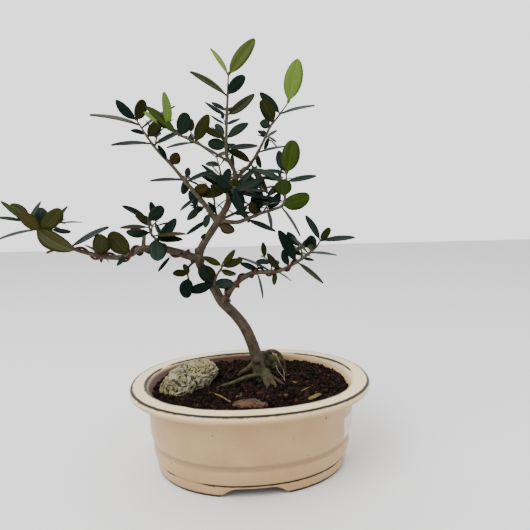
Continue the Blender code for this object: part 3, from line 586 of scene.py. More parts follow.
@dataclass(frozen=True)
class Bark(Finish):
    """Grey-brown bark that follows its limb, with painted shade in its hollows, darker near its foot and
    mossy there.
    """
    ridge: Colour = (0.082, 0.060, 0.037)
    furrow: Colour = (0.030, 0.021, 0.013)
    scar: Colour = (0.13, 0.105, 0.07)
    moss: Colour = (0.058, 0.055, 0.013)
    moss_top: float = 0.0
    grain_depth: float = 0.25

    def dress(self, bench: Bench, shader: Node) -> None:
        """Feed the shader's inputs."""
        grain = bench.attribute("grain", "Vector")
        tone = bench.mottle(grain, 0.8, self.furrow, self.ridge, 6.0, 0.16)[0]
        # painted shade: the bark's hollows, where its relief is low, are darkened towards the furrow colour
        hollow_shade = bench.ramp(bench.attribute("relief", "Fac"), 0.1, -0.8, 0.0, 0.75)
        tone = bench.mix(hollow_shade, tone, self.furrow)
        tone = bench.over(tone, self.scar, bench.specks(grain, 0.55, 0.22, 0.5), 0.4)
        if self.moss_top:
            place = bench.coordinates()
            patch = bench.mottle(place, 240.0, softness=0.2)[1]
            low = bench.ramp(bench.axis(place, 2), self.moss_top, self.moss_top - 0.012)
            # darker towards the foot, with moss in patches over that
            tone = bench.over(tone, self.furrow, low, 0.6)
            tone = bench.over(tone, self.moss, low, bench.ramp(patch, 0.35, 0.8))
        self.feed(bench, shader, Base_Color=tone, Roughness=0.8, Specular_IOR_Level=0.3,
                  Normal=self.bump(bench, grain, 2.2, 6.0, self.grain_depth))


@dataclass(frozen=True)
class Copper(Finish):
    """Soft anodised wire, dulled and stained."""
    bright: Colour = (0.095, 0.020, 0.016)
    dull: Colour = (0.027, 0.008, 0.007)

    def dress(self, bench: Bench, shader: Node) -> None:
        """Feed the shader's inputs."""
        tone, worn = bench.mottle(bench.coordinates(), 420.0, self.dull, self.bright, 3.0, 0.2)
        self.feed(bench, shader, Base_Color=tone, Metallic=0.6,
                  Roughness=bench.math("MULTIPLY_ADD", worn, -0.15, 0.45))


@dataclass(frozen=True)
class LeafSkin(Finish):
    """One face of a leaf: an even tone with a slight cloud in it, waxy or downy."""
    tone: Colour
    shift: Colour
    roughness: float = 0.45
    wax: float = 0.01

    def dress(self, bench: Bench, shader: Node) -> None:
        """Feed the shader's inputs."""
        place = bench.coordinates()
        own = bench.math("MULTIPLY_ADD", bench.noise(place, 160.0, 2.0), 0.8,
                         bench.math("ADD", bench.attribute("shade", "Fac"), -0.4))
        colour = bench.mix(bench.ramp(own, 0.1, 0.9), self.shift, self.tone)
        self.feed(bench, shader, Base_Color=colour, Roughness=self.roughness,
                  Specular_IOR_Level=0.06, Coat_Weight=self.wax, Coat_Roughness=0.3,
                  Normal=self.bump(bench, place, 700.0, 2.0, 0.05))


def finished(thing: Object, finish: Finish, crease: float = 40.0) -> Object:
    """Give a mesh its one finish, and shade it smooth up to the crease angle."""
    thing.data.materials.clear()
    thing.data.materials.append(finish.material())
    return shade(thing, crease)


class Tone(Enum):
    """The ages of a leaf, with the light on it painted in as lit and shaded tones of their own: top face, a
    darker shift of it, midrib and underside.
    """
    DARK = ((0.0055, 0.0145, 0.0090), (0.0032, 0.0075, 0.0055), (0.012, 0.021, 0.015), (0.010, 0.019, 0.012))
    OLIVE = ((0.0190, 0.0225, 0.0022), (0.012, 0.0145, 0.0014), (0.033, 0.037, 0.005), (0.030, 0.036, 0.009))
    GREY = ((0.0140, 0.0265, 0.0175), (0.009, 0.018, 0.012), (0.024, 0.040, 0.025), (0.020, 0.032, 0.020))
    YELLOWED = ((0.027, 0.019, 0.0024), (0.017, 0.013, 0.0016), (0.042, 0.032, 0.006), (0.034, 0.029, 0.008))
    MOSS = ((0.0290, 0.0470, 0.0045), (0.020, 0.034, 0.003), (0.048, 0.068, 0.011), (0.044, 0.064, 0.016))
    LIGHT = ((0.030, 0.032, 0.0060), (0.020, 0.022, 0.004), (0.050, 0.052, 0.012), (0.040, 0.045, 0.014))
    TAN = ((0.062, 0.052, 0.0120), (0.044, 0.036, 0.008), (0.085, 0.075, 0.020), (0.060, 0.052, 0.018))
    PALE = ((0.070, 0.092, 0.018), (0.052, 0.072, 0.012), (0.10, 0.125, 0.032), (0.085, 0.11, 0.035))
    # young leaves, brightened as painted backlight
    FRESH = ((0.150, 0.215, 0.038), (0.110, 0.175, 0.028), (0.19, 0.255, 0.065), (0.130, 0.190, 0.055))


# ---------------------------------------------------------------- geometry node tools
class Grower:
    """A Geometry Nodes tree with named inputs, run on a mesh to make a new one."""
    SOCKETS: dict[str, str] = {}

    def __init__(self, name: str) -> None:
        """Build the tree."""
        self.name = name
        self.tree = bpy.data.node_groups.new(name, "GeometryNodeTree")
        interface = self.tree.interface
        interface.new_socket("Grown", in_out="OUTPUT", socket_type="NodeSocketGeometry")
        for label, kind in {"Geometry": "Geometry", **self.SOCKETS}.items():
            interface.new_socket(label, in_out="INPUT", socket_type="NodeSocket" + kind)
        bench = Bench(self.tree)
        grown = self.grow(bench, bench.add("NodeGroupInput").outputs)
        bench.add("NodeGroupOutput", {"Grown": grown})

    def grow(self, bench: Bench, ins: Sockets) -> NodeSocket:
        """Lay out the nodes between the tree's inputs and its result."""
        raise NotImplementedError

    def scatter(self, bench: Bench, points: NodeSocket, shapes: NodeSocket, inputs: dict) -> NodeSocket:
        """Set one of a collection's shapes on every point, and make them one plain mesh."""
        picked = bench.add("GeometryNodeCollectionInfo", {
            "Collection": shapes, "Separate Children": True, "Reset Children": True}).outputs[0]
        inputs = {"Points": points, "Instance": picked, "Pick Instance": True, **inputs}
        return self.plain(bench, bench.add("GeometryNodeInstanceOnPoints", inputs).outputs[0])

    def plain(self, bench: Bench, grown: NodeSocket) -> NodeSocket:
        """Make what has grown one plain mesh."""
        return bench.add("GeometryNodeRealizeInstances", {"Geometry": grown}).outputs[0]

    def paint(self, bench: Bench, grown: NodeSocket, finish: NodeSocket,
              where: NodeSocket | bool = True) -> NodeSocket:
        """Give the mesh a finish, all over or where a mask says."""
        inputs = {"Geometry": grown, "Selection": where, "Material": finish}
        return bench.add("GeometryNodeSetMaterial", inputs).outputs[0]

    def run(self, base: Object, **inputs) -> Object:
        """Grow something on a mesh.

        Args:
            base: The object that is grown on, which is used up.
            inputs: Values for the tree's inputs.

        Returns:
            A plain mesh object of the base's name.
        """
        modifier = base.modifiers.new(self.name, "NODES")
        modifier.node_group = self.tree
        for label, value in inputs.items():
            modifier[self.tree.interface.items_tree[label].identifier] = value
        return flatten(base)


class RodGrower(Grower):
    """Turns chains of edges into closed round rods, as thick as their radius attribute says."""
    SOCKETS = {"Sides": "Int", "Finish": "Material"}

    def lay(self, name: str, lines: Lines, sides: int, finish: Finish, crease: float) -> Object:
        """Make rods of one finish through lines of points."""
        return shade(self.run(chains(name, lines), Sides=sides, Finish=finish.material()), crease)

    def grow(self, bench: Bench, ins: Sockets) -> NodeSocket:
        """Lay out the nodes."""
        line = bench.add("GeometryNodeMeshToCurve", {"Mesh": ins["Geometry"]}).outputs[0]
        ring = bench.add("GeometryNodeCurvePrimitiveCircle", {"Resolution": ins["Sides"], "Radius": 1.0})
        rod = bench.add("GeometryNodeCurveToMesh", {
            "Curve": line, "Profile Curve": ring.outputs[0], "Scale": bench.named("radius", "FLOAT"),
            "Fill Caps": True})
        return self.paint(bench, self.plain(bench, rod.outputs[0]), ins["Finish"])


class LeafGrower(Grower):
    """Sets a leaf on every point, turned, sized and shaped as its attributes say."""
    SOCKETS = {"Forms": "Collection", "Top": "Material", "Rib": "Material", "Underside": "Material"}

    def grow(self, bench: Bench, ins: Sockets) -> NodeSocket:
        """Lay out the nodes."""
        inputs = {"Instance Index": bench.named("form", "INT"),
                  "Rotation": bench.named("turn", "FLOAT_VECTOR"),
                  "Scale": bench.named("size", "FLOAT_VECTOR")}
        grown = self.scatter(bench, ins["Geometry"], ins["Forms"], inputs)
        face = bench.named("side", "INT")
        for side, label in enumerate(("Top", "Rib", "Underside")):
            here = bench.add("FunctionNodeCompare", {2: face, 3: side}, data_type="INT", operation="EQUAL")
            grown = self.paint(bench, grown, ins[label], here.outputs[0])
        return grown


class GritGrower(Grower):
    """Scatters grains over a surface, each turned and sized at random from a seed."""
    SOCKETS = {"Shapes": "Collection", "Density": "Float", "Smallest": "Float", "Largest": "Float",
               "Seed": "Int", "Finish": "Material"}

    def grow(self, bench: Bench, ins: Sockets) -> NodeSocket:
        """Lay out the nodes."""
        points = bench.add("GeometryNodeDistributePointsOnFaces", {
            "Mesh": ins["Geometry"], "Density": ins["Density"], "Seed": ins["Seed"]}).outputs[0]
        limits = {0: (0.0,) * 3, 1: (2 * math.pi,) * 3, "Seed": ins["Seed"]}
        turn = bench.add("FunctionNodeRandomValue", limits, data_type="FLOAT_VECTOR").outputs[0]
        limits = {2: ins["Smallest"], 3: ins["Largest"], "Seed": ins["Seed"]}
        size = bench.add("FunctionNodeRandomValue", limits, data_type="FLOAT").outputs[1]
        grains = self.scatter(bench, points, ins["Shapes"], {"Rotation": turn, "Scale": size})
        return self.paint(bench, grains, ins["Finish"])


def chains(name: str, lines: Lines) -> Object:
    """Chains of edges for a RodGrower.

    Args:
        name: The object's name.
        lines: For each chain its points, and its radii in millimetres.

    Returns:
        A mesh object of loose edges with a radius attribute.
    """
    points, radii, edges = [], [], []
    for path, widths in lines:
        edges += [(len(points) + i, len(points) + i + 1) for i in range(len(path) - 1)]
        points += [tuple(place) for place in path]
        radii += [width * MM for width in widths]
    mesh = bpy.data.meshes.new(name)
    mesh.from_pydata(points, edges, [])
    attach(mesh, "radius", "FLOAT", radii)
    return add_object(name, mesh)


def mark_grain(mesh: Mesh) -> None:
    """Give small rods the attributes that Bark reads, from their own places."""
    places = np.empty(len(mesh.vertices) * 3, np.float32)
    mesh.vertices.foreach_get("co", places)
    attach(mesh, "grain", "FLOAT_VECTOR", places / MM)
    attach(mesh, "relief", "FLOAT", np.zeros(len(mesh.vertices), np.float32))


# ---------------------------------------------------------------- pot
@dataclass
class PotBody:
    """The oval pot: a rounded profile swept round an oval, with an opening in its foot."""
    half_length: float = 75.0
    half_depth: float = 57.8
    power: float = 2.15
    steps: int = 180
    rounding: float = 1.1
    waver: float = 0.12
    recess_low: tuple[float, float] = (-23.0, 19.0)     # the opening's ends at the bottom
    recess_high: tuple[float, float] = (-14.5, 10.5)    # and at its top
    recess_height: float = 6.0
    recess_rounding: float = 3.4
    drains: tuple[float, float] = (-22.0, 22.0)
    drain_radius: float = 5.0
    label_angles: tuple[float, float] = (-36.0, -12.0)      # about the upright, from the right end
    label_heights: tuple[float, float] = (22.5, 35.0)
    label_thickness: float = 0.3
    label_steps: tuple[int, int] = (14, 6)                  # round the wall and up it
    finish: Finish = Glaze("cream glaze")
    paper: Finish = Earth("label paper", (0.80, 0.76, 0.72), (0.70, 0.62, 0.58), 60.0, 0.5)

    # height, and inset from the rim's outer edge at the ends and at the front and back
    ROWS = (
        (6.5, 23.0, 18.5), (0.0, 21.5, 17.5), (0.0, 16.2, 11.9), (0.8, 15.6, 11.3),
        (6.4, 14.7, 10.3), (7.2, 15.4, 11.0), (8.6, 14.1, 9.7), (13.0, 13.0, 8.6),
        (16.8, 13.1, 8.7), (18.4, 13.9, 9.5), (21.0, 12.3, 8.0), (26.0, 11.3, 7.0),
        (33.0, 11.4, 7.1), (44.0, 10.9, 6.5), (46.6, 10.0, 5.8), (47.2, 1.2, 1.2),
        (48.6, 0.1, 0.1), (50.8, 0.0, 0.0), (52.1, 1.2, 1.2), (52.1, 9.6, 9.6),
        (51.4, 10.4, 10.4), (46.0, 14.5, 11.6), (10.5, 19.0, 15.0),
    )
    FOOT_EDGE = 3                   # rows where the finish changes
    GROOVES = (9, 5)
    UNDER_RIM = 14                  # where the wall's own rows end
    RIM_EDGE = 18
    INNER_EDGE = 19
    BARE = 20
    UV_METRES = 0.1                 # one unit of the UV map

    @classmethod
    def mark(cls, row: int) -> float:
        """How far along the profile a row stands, in the UV map's units."""
        rows = cls.ROWS[:row + 1]
        return sum(math.dist(a[::2], b[::2]) for a, b in zip(rows, rows[1:])) * MM / cls.UV_METRES

    def profile(self) -> list[Vector]:
        """The profile with its corners rounded: place along it, height and the two insets."""
        rows = [(self.mark(index), *row) for index, row in enumerate(self.ROWS)]
        return rounded(rows, self.rounding)

    def oval(self, angle: float, *halves: float) -> list[float]:
        """A point of the oval with these half sizes along X and Y."""
        return [half * math.copysign(abs(turn) ** (2 / self.power), turn)
                for half, turn in zip(halves, (math.cos(angle), math.sin(angle)))]

    def ring(self, height: float, end_inset: float, side_inset: float, steps: int) -> list[Vector]:
        """Points of a level oval ring, by its insets from the rim at the ends and the sides."""
        halves = self.half_length - end_inset, self.half_depth - side_inset
        return [metres((*self.oval(2 * math.pi * step / steps, *halves), height)) for step in range(steps)]

    def swept(self) -> Object:
        """The pot before its foot is opened, with a UV map along its profile."""
        shape = bmesh.new()
        layer = shape.loops.layers.uv.new("UVMap")
        profile = self.profile()
        loops = [[shape.verts.new(self.wavered(place)) for place in self.ring(*row[1:], self.steps)]
                 for row in profile]
        for row, (lower, upper) in enumerate(zip(loops, loops[1:])):
            low, high = profile[row][0], profile[row + 1][0]
            for k in range(self.steps):
                n = (k + 1) % self.steps
                face = shape.faces.new((lower[k], lower[n], upper[n], upper[k]))
                corners = ((k, low), (k + 1, low), (k + 1, high), (k, high))
                for loop, (step, across) in zip(face.loops, corners):
                    loop[layer].uv = (4.0 * step / self.steps, across)
        for ring, across in ((reversed(loops[0]), profile[0][0]), (loops[-1], profile[-1][0])):
            for loop in shape.faces.new(list(ring)).loops:
                loop[layer].uv = (0.0, across)
        return from_bmesh("pot_glazed", shape)

    def wavered(self, place: Vector) -> Vector:
        """Pull a point of the wall in by a little, unevenly, as a thrown pot is."""
        level = noise.noise(place * 28.0) * 0.5 + 0.5
        if place.z < self.rounding * MM:
            return place
        outward = Vector((place.x, place.y, 0.0)).normalized()
        return place - outward * self.waver * level * MM

    def cutters(self) -> list[Object]:
        """The wedge that opens the foot front and back, and the drain holes."""
        (left, right), (high_left, high_right) = self.recess_low, self.recess_high
        top = self.recess_height
        corners = ((left - 5.0, -1.0), (left + 0.8, 0.2), (high_left, top),
                   (high_right, top), (right - 0.8, 0.2), (right + 5.0, -1.0))
        shape = bmesh.new()
        loops = [[shape.verts.new(metres((x, y, z))) for x, z in rounded(corners, self.recess_rounding)]
                 for y in (-self.half_depth, self.half_depth)]
        skin(shape, loops)
        for loop in loops:
            shape.faces.new(loop)
        found = [from_bmesh("foot_recess", shape, outward=True)]
        for x in self.drains:
            shape = bmesh.new()
            bmesh.ops.create_cone(shape, cap_ends=True, segments=48, depth=0.02,
                                  radius1=self.drain_radius * MM, radius2=self.drain_radius * MM)
            bmesh.ops.translate(shape, verts=shape.verts, vec=metres((x, 0.0, 10.5)))
            found.append(from_bmesh("drain", shape))
        return found

    def build(self) -> None:
        """Make the pot and set it in the frame."""
        pot = self.swept()
        cutters = self.cutters()
        for cutter in cutters:
            cut = pot.modifiers.new("cut", "BOOLEAN")
            cut.operation = "DIFFERENCE"
            cut.object = cutter
        pot = flatten(pot)
        for cutter in cutters:
            bpy.data.objects.remove(cutter, do_unlink=True)
        settle(finished(pot, self.finish, 35.0), ["pot"])
        self.label()

    def wall(self, height: float, angle: float, proud: float) -> Vector:
        """A point off the outer wall, at a height, an angle in degrees and a distance."""
        rows = self.ROWS[self.GROOVES[0] + 1:self.UNDER_RIM]
        for (low, *near), (high, *far) in zip(rows, rows[1:]):
            if height <= high:
                break
        share = (height - low) / (high - low)
        reach = [half - a - (b - a) * share + proud
                 for half, a, b in zip((self.half_length, self.half_depth), near, far)]
        return self.wavered(metres((*self.oval(math.radians(angle), *reach), height)))

    def label(self) -> None:
        """Stick a plain label with nothing on it to the wall at the right."""
        shape = bmesh.new()
        (low, high), (start, end) = self.label_heights, self.label_angles
        columns, rows = self.label_steps
        edges = []
        for proud in (self.label_thickness / 2, -self.label_thickness / 2):
            layer = [[shape.verts.new(self.wall(low + (high - low) * j / rows,
                                                start + (end - start) * i / columns, proud))
                      for i in range(columns + 1)] for j in range(rows + 1)]
            for lower, upper in zip(layer, layer[1:]):
                for i in range(columns):
                    shape.faces.new((lower[i], lower[i + 1], upper[i + 1], upper[i]))
            edges.append(layer[0] + [row[-1] for row in layer[1:]] + layer[-1][-2::-1]
                         + [row[0] for row in layer[-2:0:-1]])
        skin(shape, edges)
        settle(finished(from_bmesh("label_blank", shape, outward=True), self.paper))


# ---------------------------------------------------------------- soil, stone and litter
def grain_shapes(name: str, seed: int, flatness: float) -> Collection:
    """Eight broken grains of unit size, each the hull of a few random points.

    Args:
        name: The collection's name.
        seed: The seed of their shapes.
        flatness: Their height as a share of their width.

    Returns:
        A collection that isn't in the scene.
    """
    dice = random.Random(seed)
    shapes = bpy.data.collections.new(name)
    for index in range(8):
        shape = bmesh.new()
        for _ in range(14):
            spot = Vector([dice.uniform(-1.0, 1.0) for _ in range(3)]).normalized()
            stretch = dice.uniform(0.75, 1.1)
            shape.verts.new((spot.x * stretch, spot.y * 0.8 * stretch, spot.z * flatness * stretch))
        hull = bmesh.ops.convex_hull(shape, input=shape.verts)
        loose = [item for item in hull["geom_interior"] if isinstance(item, BMVert)]
        bmesh.ops.delete(shape, geom=loose, context="VERTS")
        mesh = to_mesh(f"{name}_{index}", shape, outward=True)
        shapes.objects.link(bpy.data.objects.new(mesh.name, mesh))
    return shapes


def clear_shapes(shapes: Collection) -> None:
    """Remove a collection of shapes once nothing grows from it any more."""
    for thing in list(shapes.objects):
        bpy.data.objects.remove(thing, do_unlink=True)
    bpy.data.collections.remove(shapes)


@dataclass
class Grit:
    """One kind of grain on the soil."""
    name: str
    finish: Finish
    density: float              # grains in a square millimetre
    sizes: tuple[float, float]  # smallest and largest half width in millimetres
    seed: int
    flatness: float = 0.75


@dataclass
class SoilBed:
    """Dark soil filling the pot, mounded to the middle, with crumbs and grit over it."""
    pot: PotBody
    rings: int = 56
    steps: int = 200
    floor: float = 10.8
    plateau: float = 50.1
    plateau_share: float = 0.50     # of the way from the middle to the wall
    wall_height: float = 47.4
    wall_inset: tuple[float, float] = (14.4, 11.8)
    floor_inset: tuple[float, float] = (19.4, 15.4)
    clump: float = 2.1              # depth of the surface's lumps
    finish: Finish = Earth("soil", (0.012, 0.006, 0.004), (0.004, 0.002, 0.0015))
    grits: tuple[Grit, ...] = (
        Grit("soil_crumbs", Earth("crumbs", (0.017, 0.008, 0.005), (0.004, 0.002, 0.0015), 160.0),
             0.21, (0.8, 2.6), 3),
        Grit("soil_fines", Earth("fines", (0.024, 0.012, 0.008), (0.006, 0.004, 0.003), 200.0),
             0.42, (0.3, 0.7), 8),
        Grit("soil_lava", Earth("lava", (0.060, 0.019, 0.013), (0.018, 0.007, 0.005), 220.0),
             0.055, (0.8, 2.1), 5),
        Grit("soil_bark", Earth("bark chips", (0.050, 0.028, 0.018), (0.018, 0.011, 0.007), 140.0),
             0.016, (1.2, 2.6), 11, 0.3),
        Grit("soil_pumice", Earth("pumice", (0.40, 0.34, 0.27), (0.18, 0.15, 0.12), 240.0),
             0.006, (0.3, 0.7), 17),
    )

    def height(self, x: float, y: float, share: float) -> float:
        """The soil's height in millimetres at a place, by its share of the way to the wall."""
        fall = max(0.0, (share - self.plateau_share) / (1.0 - self.plateau_share))
        level = self.plateau - (self.plateau - self.wall_height) * fall * fall * (3 - 2 * fall)
        broad = noise.noise((x * 0.11, y * 0.11, 1.7))
        fine = noise.noise((x * 0.42, y * 0.42, 7.1))
        return level + self.clump * (0.55 * broad + 0.45 * fine) - 0.35

    def surface(self) -> list[list[Vector]]:
        """The top's rings, from the wall to the middle."""
        found = []
        for ring in range(self.rings):
            share = 1.0 - ring / self.rings
            row = []
            for place in self.pot.ring(0.0, *self.wall_inset, self.steps):
                x, y = place.x / MM * share, place.y / MM * share
                row.append(metres((x, y, self.height(x, y, share))))
            found.append(row)
        return found

    def mound(self, name: str, closed: bool) -> Object:
        """The soil as a closed body, or its top alone."""
        shape = bmesh.new()
        rings = self.surface()
        if closed:
            rings.insert(0, self.pot.ring(self.floor, *self.floor_inset, self.steps))
        loops = [[shape.verts.new(place) for place in ring] for ring in rings]
        skin(shape, loops)
        peak = shape.verts.new(metres((0.0, 0.0, self.height(0.0, 0.0, 0.0))))
        for k in range(self.steps):
            shape.faces.new((loops[-1][k], loops[-1][(k + 1) % self.steps], peak))
        if closed:
            shape.faces.new(list(reversed(loops[0])))
        return from_bmesh(name, shape)

    def build(self, grower: GritGrower) -> None:
        """Make the bed and strew the grit over it."""
        settle(finished(self.mound("soil_bed", closed=True), self.finish), ["soil"])
        for grit in self.grits:
            shapes = grain_shapes(grit.name, grit.seed, grit.flatness)
            strewn = grower.run(self.mound(grit.name, closed=False), Shapes=shapes,
                                Density=grit.density / MM ** 2, Smallest=grit.sizes[0] * MM,
                                Largest=grit.sizes[1] * MM, Seed=grit.seed,
                                Finish=grit.finish.material())
            clear_shapes(shapes)
            settle(strewn)


@dataclass
class Stone:
    """A weathered lump of limestone bedded in the soil."""
    centre: Point = (-39.0, -3.0, 53.5)
    half: Point = (18.3, 11.8, 8.9)
    turn: Point = (8.0, -16.0, 26.0)        # degrees about X, then Y, then Z
    finish: Finish = Limestone("limestone")
    EVEN = 12.0                     # the half size at which its texture is neither drawn out nor pressed

    def swell(self, spot: Vector) -> tuple[float, float]:
        """How far the surface stands out at a place on the unit ball.

        Args:
            spot: The place.

        Returns:
            The share by which it stands out, and its relief from a pit at -1 to a ridge at 1.
        """
        spot = Vector([spot[i] * self.half[i] / self.EVEN for i in range(3)])
        drift = Vector([noise.noise(spot * 1.7 + Vector((k * 9.1, 3.0, 0.0))) for k in range(3)])
        bent = spot + drift * 0.35
        near = noise.voronoi(bent * 2.4 + Vector((4.2, 0.4, 8.8)))[0]
        cleft = min(1.0, (near[1] - near[0]) / 0.2)
        knob = noise.noise(bent * 1.7) + 0.6 * noise.noise(bent * 3.9)
        gnarl = abs(noise.noise(bent * 5.4)) + 0.7 * abs(noise.noise(bent * 11.0))
        pits = max(0.0, noise.noise(bent * 8.0 + Vector((0.0, 5.0, 2.0))) - 0.16)
        crumb = noise.noise(spot * 21.0) + 0.6 * noise.noise(spot * 43.0)
        swell = 0.03 * (cleft - 1.0) + 0.12 * knob + 0.05 * (gnarl - 0.35) - 0.15 * pits + 0.010 * crumb
        relief = 2.6 * (gnarl - 0.20) + 0.6 * (cleft - 0.8) - 2.2 * pits + 0.4 * crumb
        return swell, max(-1.0, min(1.0, relief))

    def build(self) -> None:
        """Make the stone."""
        shape = bmesh.new()
        bmesh.ops.create_icosphere(shape, subdivisions=7, radius=1.0)
        relief = shape.verts.layers.float.new("relief")
        turn = Matrix.Identity(3)
        for angle, axis in zip(self.turn, "XYZ"):
            turn = Matrix.Rotation(math.radians(angle), 3, axis) @ turn
        for vert in shape.verts:
            swell, vert[relief] = self.swell(vert.co)
            shaped = Vector(vert.co[i] * self.half[i] for i in range(3)) * (1.02 + swell)
            vert.co = metres(Vector(self.centre) + turn @ shaped)
        settle(finished(from_bmesh("limestone", shape), self.finish, 60.0), ["stone"])


@dataclass
class Litter:
    """What has fallen on the soil: a chip of bark, a dry twig, scraps of leaf, a lava lump."""
    bark_chip: Finish = Earth("chip", (0.120, 0.066, 0.040), (0.050, 0.027, 0.018), 130.0, 0.85)
    dry_leaf: Finish = Earth("dry leaf", (0.19, 0.14, 0.035), (0.10, 0.075, 0.02), 150.0, 0.7)
    lava: Finish = Earth("lava lump", (0.15, 0.040, 0.022), (0.06, 0.020, 0.012), 240.0)
    root: Finish = Earth("pale root", (0.30, 0.23, 0.18), (0.16, 0.11, 0.08), 300.0, 0.7)
    straw: Finish = Earth("straw", (0.24, 0.18, 0.075), (0.13, 0.095, 0.04), 200.0, 0.7)
    # name, middle, half size, turn about Z in degrees, lean in degrees, which finish
    LUMPS = (
        ("chip_front", (-1.5, -33.5, 48.6), (11.0, 4.6, 1.3), 6.0, -4.0, "bark_chip"),
        ("lava_lump", (-30.3, -9.0, 49.4), (2.4, 1.9, 1.5), 20.0, 0.0, "lava"),
        ("scrap_right", (34.6, -29.0, 48.7), (5.2, 1.7, 0.35), 27.0, 8.0, "dry_leaf"),
        ("scrap_near", (25.4, -9.9, 50.4), (2.6, 1.3, 0.4), -30.0, 12.0, "dry_leaf"),
        ("chip_left", (-8.5, -24.0, 49.6), (3.4, 1.8, 0.8), 62.0, 6.0, "bark_chip"),
        ("chip_right", (17.0, -27.0, 49.4), (3.0, 1.6, 0.8), -18.0, 5.0, "bark_chip"),
    )
    # name, route, end radii, which finish
    STRAWS = (
        ("straw_front", ((-26.5, -15.7, 49.6), (-20.0, -24.0, 50.3), (-13.8, -30.6, 49.0)),
         (0.55, 0.4), "straw"),
        ("root_hair", ((13.4, 0.0, 67.6), (16.6, -1.4, 64.2), (18.4, -2.6, 60.0), (20.6, -3.0, 55.4),
                       (20.4, -7.0, 50.0)), (0.26, 0.2), "root"),
        ("root_hair_low", ((16.0, -1.0, 58.6), (17.0, -4.0, 56.0), (19.6, -6.4, 53.0), (21.4, -10.0, 49.6)),
         (0.22, 0.18), "root"),
        ("straw_right", ((28.0, -22.0, 49.6), (33.0, -19.0, 50.2), (37.0, -14.0, 49.6)),
         (0.3, 0.25), "straw"),
    )

    def lump(self, name: str, middle: Point, half: Point, turn: float, lean: float,
             finish: str) -> Object:
        """A rough flake or lump.

        Args:
            name: The piece's name.
            middle: Its middle.
            half: Its half length, half width and half thickness.
            turn: Degrees about the upright.
            lean: Degrees by which its far end is raised.
            finish: The field that holds its finish.

        Returns:
            The lump.
        """
        shape = bmesh.new()
        bmesh.ops.create_icosphere(shape, subdivisions=4, radius=1.0)
        tilt = Matrix.Rotation(math.radians(turn), 3, "Z") @ Matrix.Rotation(math.radians(-lean), 3, "Y")
        drift = Vector(middle)
        for vert in shape.verts:
            spot = vert.co.copy()
            square = Vector([math.copysign(abs(value) ** 0.7, value) for value in spot])
            rough = 1.0 + 0.16 * noise.noise(spot * 2.6 + drift) + 0.06 * noise.noise(spot * 8.0 + drift)
            bow = Vector((0.0, 0.0, 0.35 * noise.noise(Vector((spot.x * 1.6, spot.y, 0.0)) + drift)))
            shaped = Vector(square[i] * half[i] * rough for i in range(3)) + bow * half[2] * 2
            vert.co = metres(Vector(middle) + tilt @ shaped)
        return settle(finished(from_bmesh(name, shape), getattr(self, finish), 50.0))

    def build(self, rods: RodGrower) -> None:
        """Make every scrap."""
        for lump in self.LUMPS:
            self.lump(*lump)
        for name, route, radii, finish in self.STRAWS:
            path = smooth_path(route, 8)
            line = path, taper(*radii, len(path))
            settle(rods.lay(name, [line], 8, getattr(self, finish), 60.0))


# ---------------------------------------------------------------- limbs
@dataclass(frozen=True)
class Limb:
    """A limb through its bends, the radii of its ends and the share that is bare bough."""
    name: str
    bends: tuple
    radii: tuple
    bough: float

    def path(self, steps: int) -> list[Vector]:
        """The limb's middle line, with a number of points between two bends."""
        return smooth_path(self.bends, steps)

    def radius(self, share: float) -> float:
        """Its radius in millimetres at a share of its length."""
        return self.radii[0] + (self.radii[1] - self.radii[0]) * share


@dataclass(frozen=True)
class Shoot:
    """A side shoot: where it leaves its stem, where it ends, and its pairs of leaves."""
    at: float
    tip: tuple
    pairs: tuple
    leaf: tuple
    roll: float = 0.0


@dataclass(frozen=True)
class Blade:
    """A single leaf on a stem: its share along it, length, heading, rise, width and tilt.

    The heading runs from +X towards +Y and the rise up from level, both in degrees. The tilt
    turns the face from the front towards edge on.
    """
    at: float
    length: float
    heading: float
    rise: float
    width: float
    tilt: float = 0.0


@dataclass(frozen=True)
class Wire:
    """A training wire wound round a limb, with a free tail at its far end."""
    name: str
    limb: str
    start: float
    end: float
    turns: float
    phase: float
    tail: tuple = ()


@dataclass(frozen=True)
class Spray:
    """The leafy outer part of a limb: one stem, its pairs, and rows for Shoot and for Blade.

    Pairs are given by their count and the shares of the stem where the first and last stand,
    and leaf gives the lengths at those two. The tones of the single leaves are given by
    the first letters of Tone.
    """
    name: str
    limb: str
    seed: int
    pairs: tuple = (0, 0.0, 0.0)
    leaf: tuple = (0.0, 0.0)
    roll: float = 0.0
    turn: float = 90.0
    shoots: tuple = ()
    blades: tuple = ()
    tones: str = ""


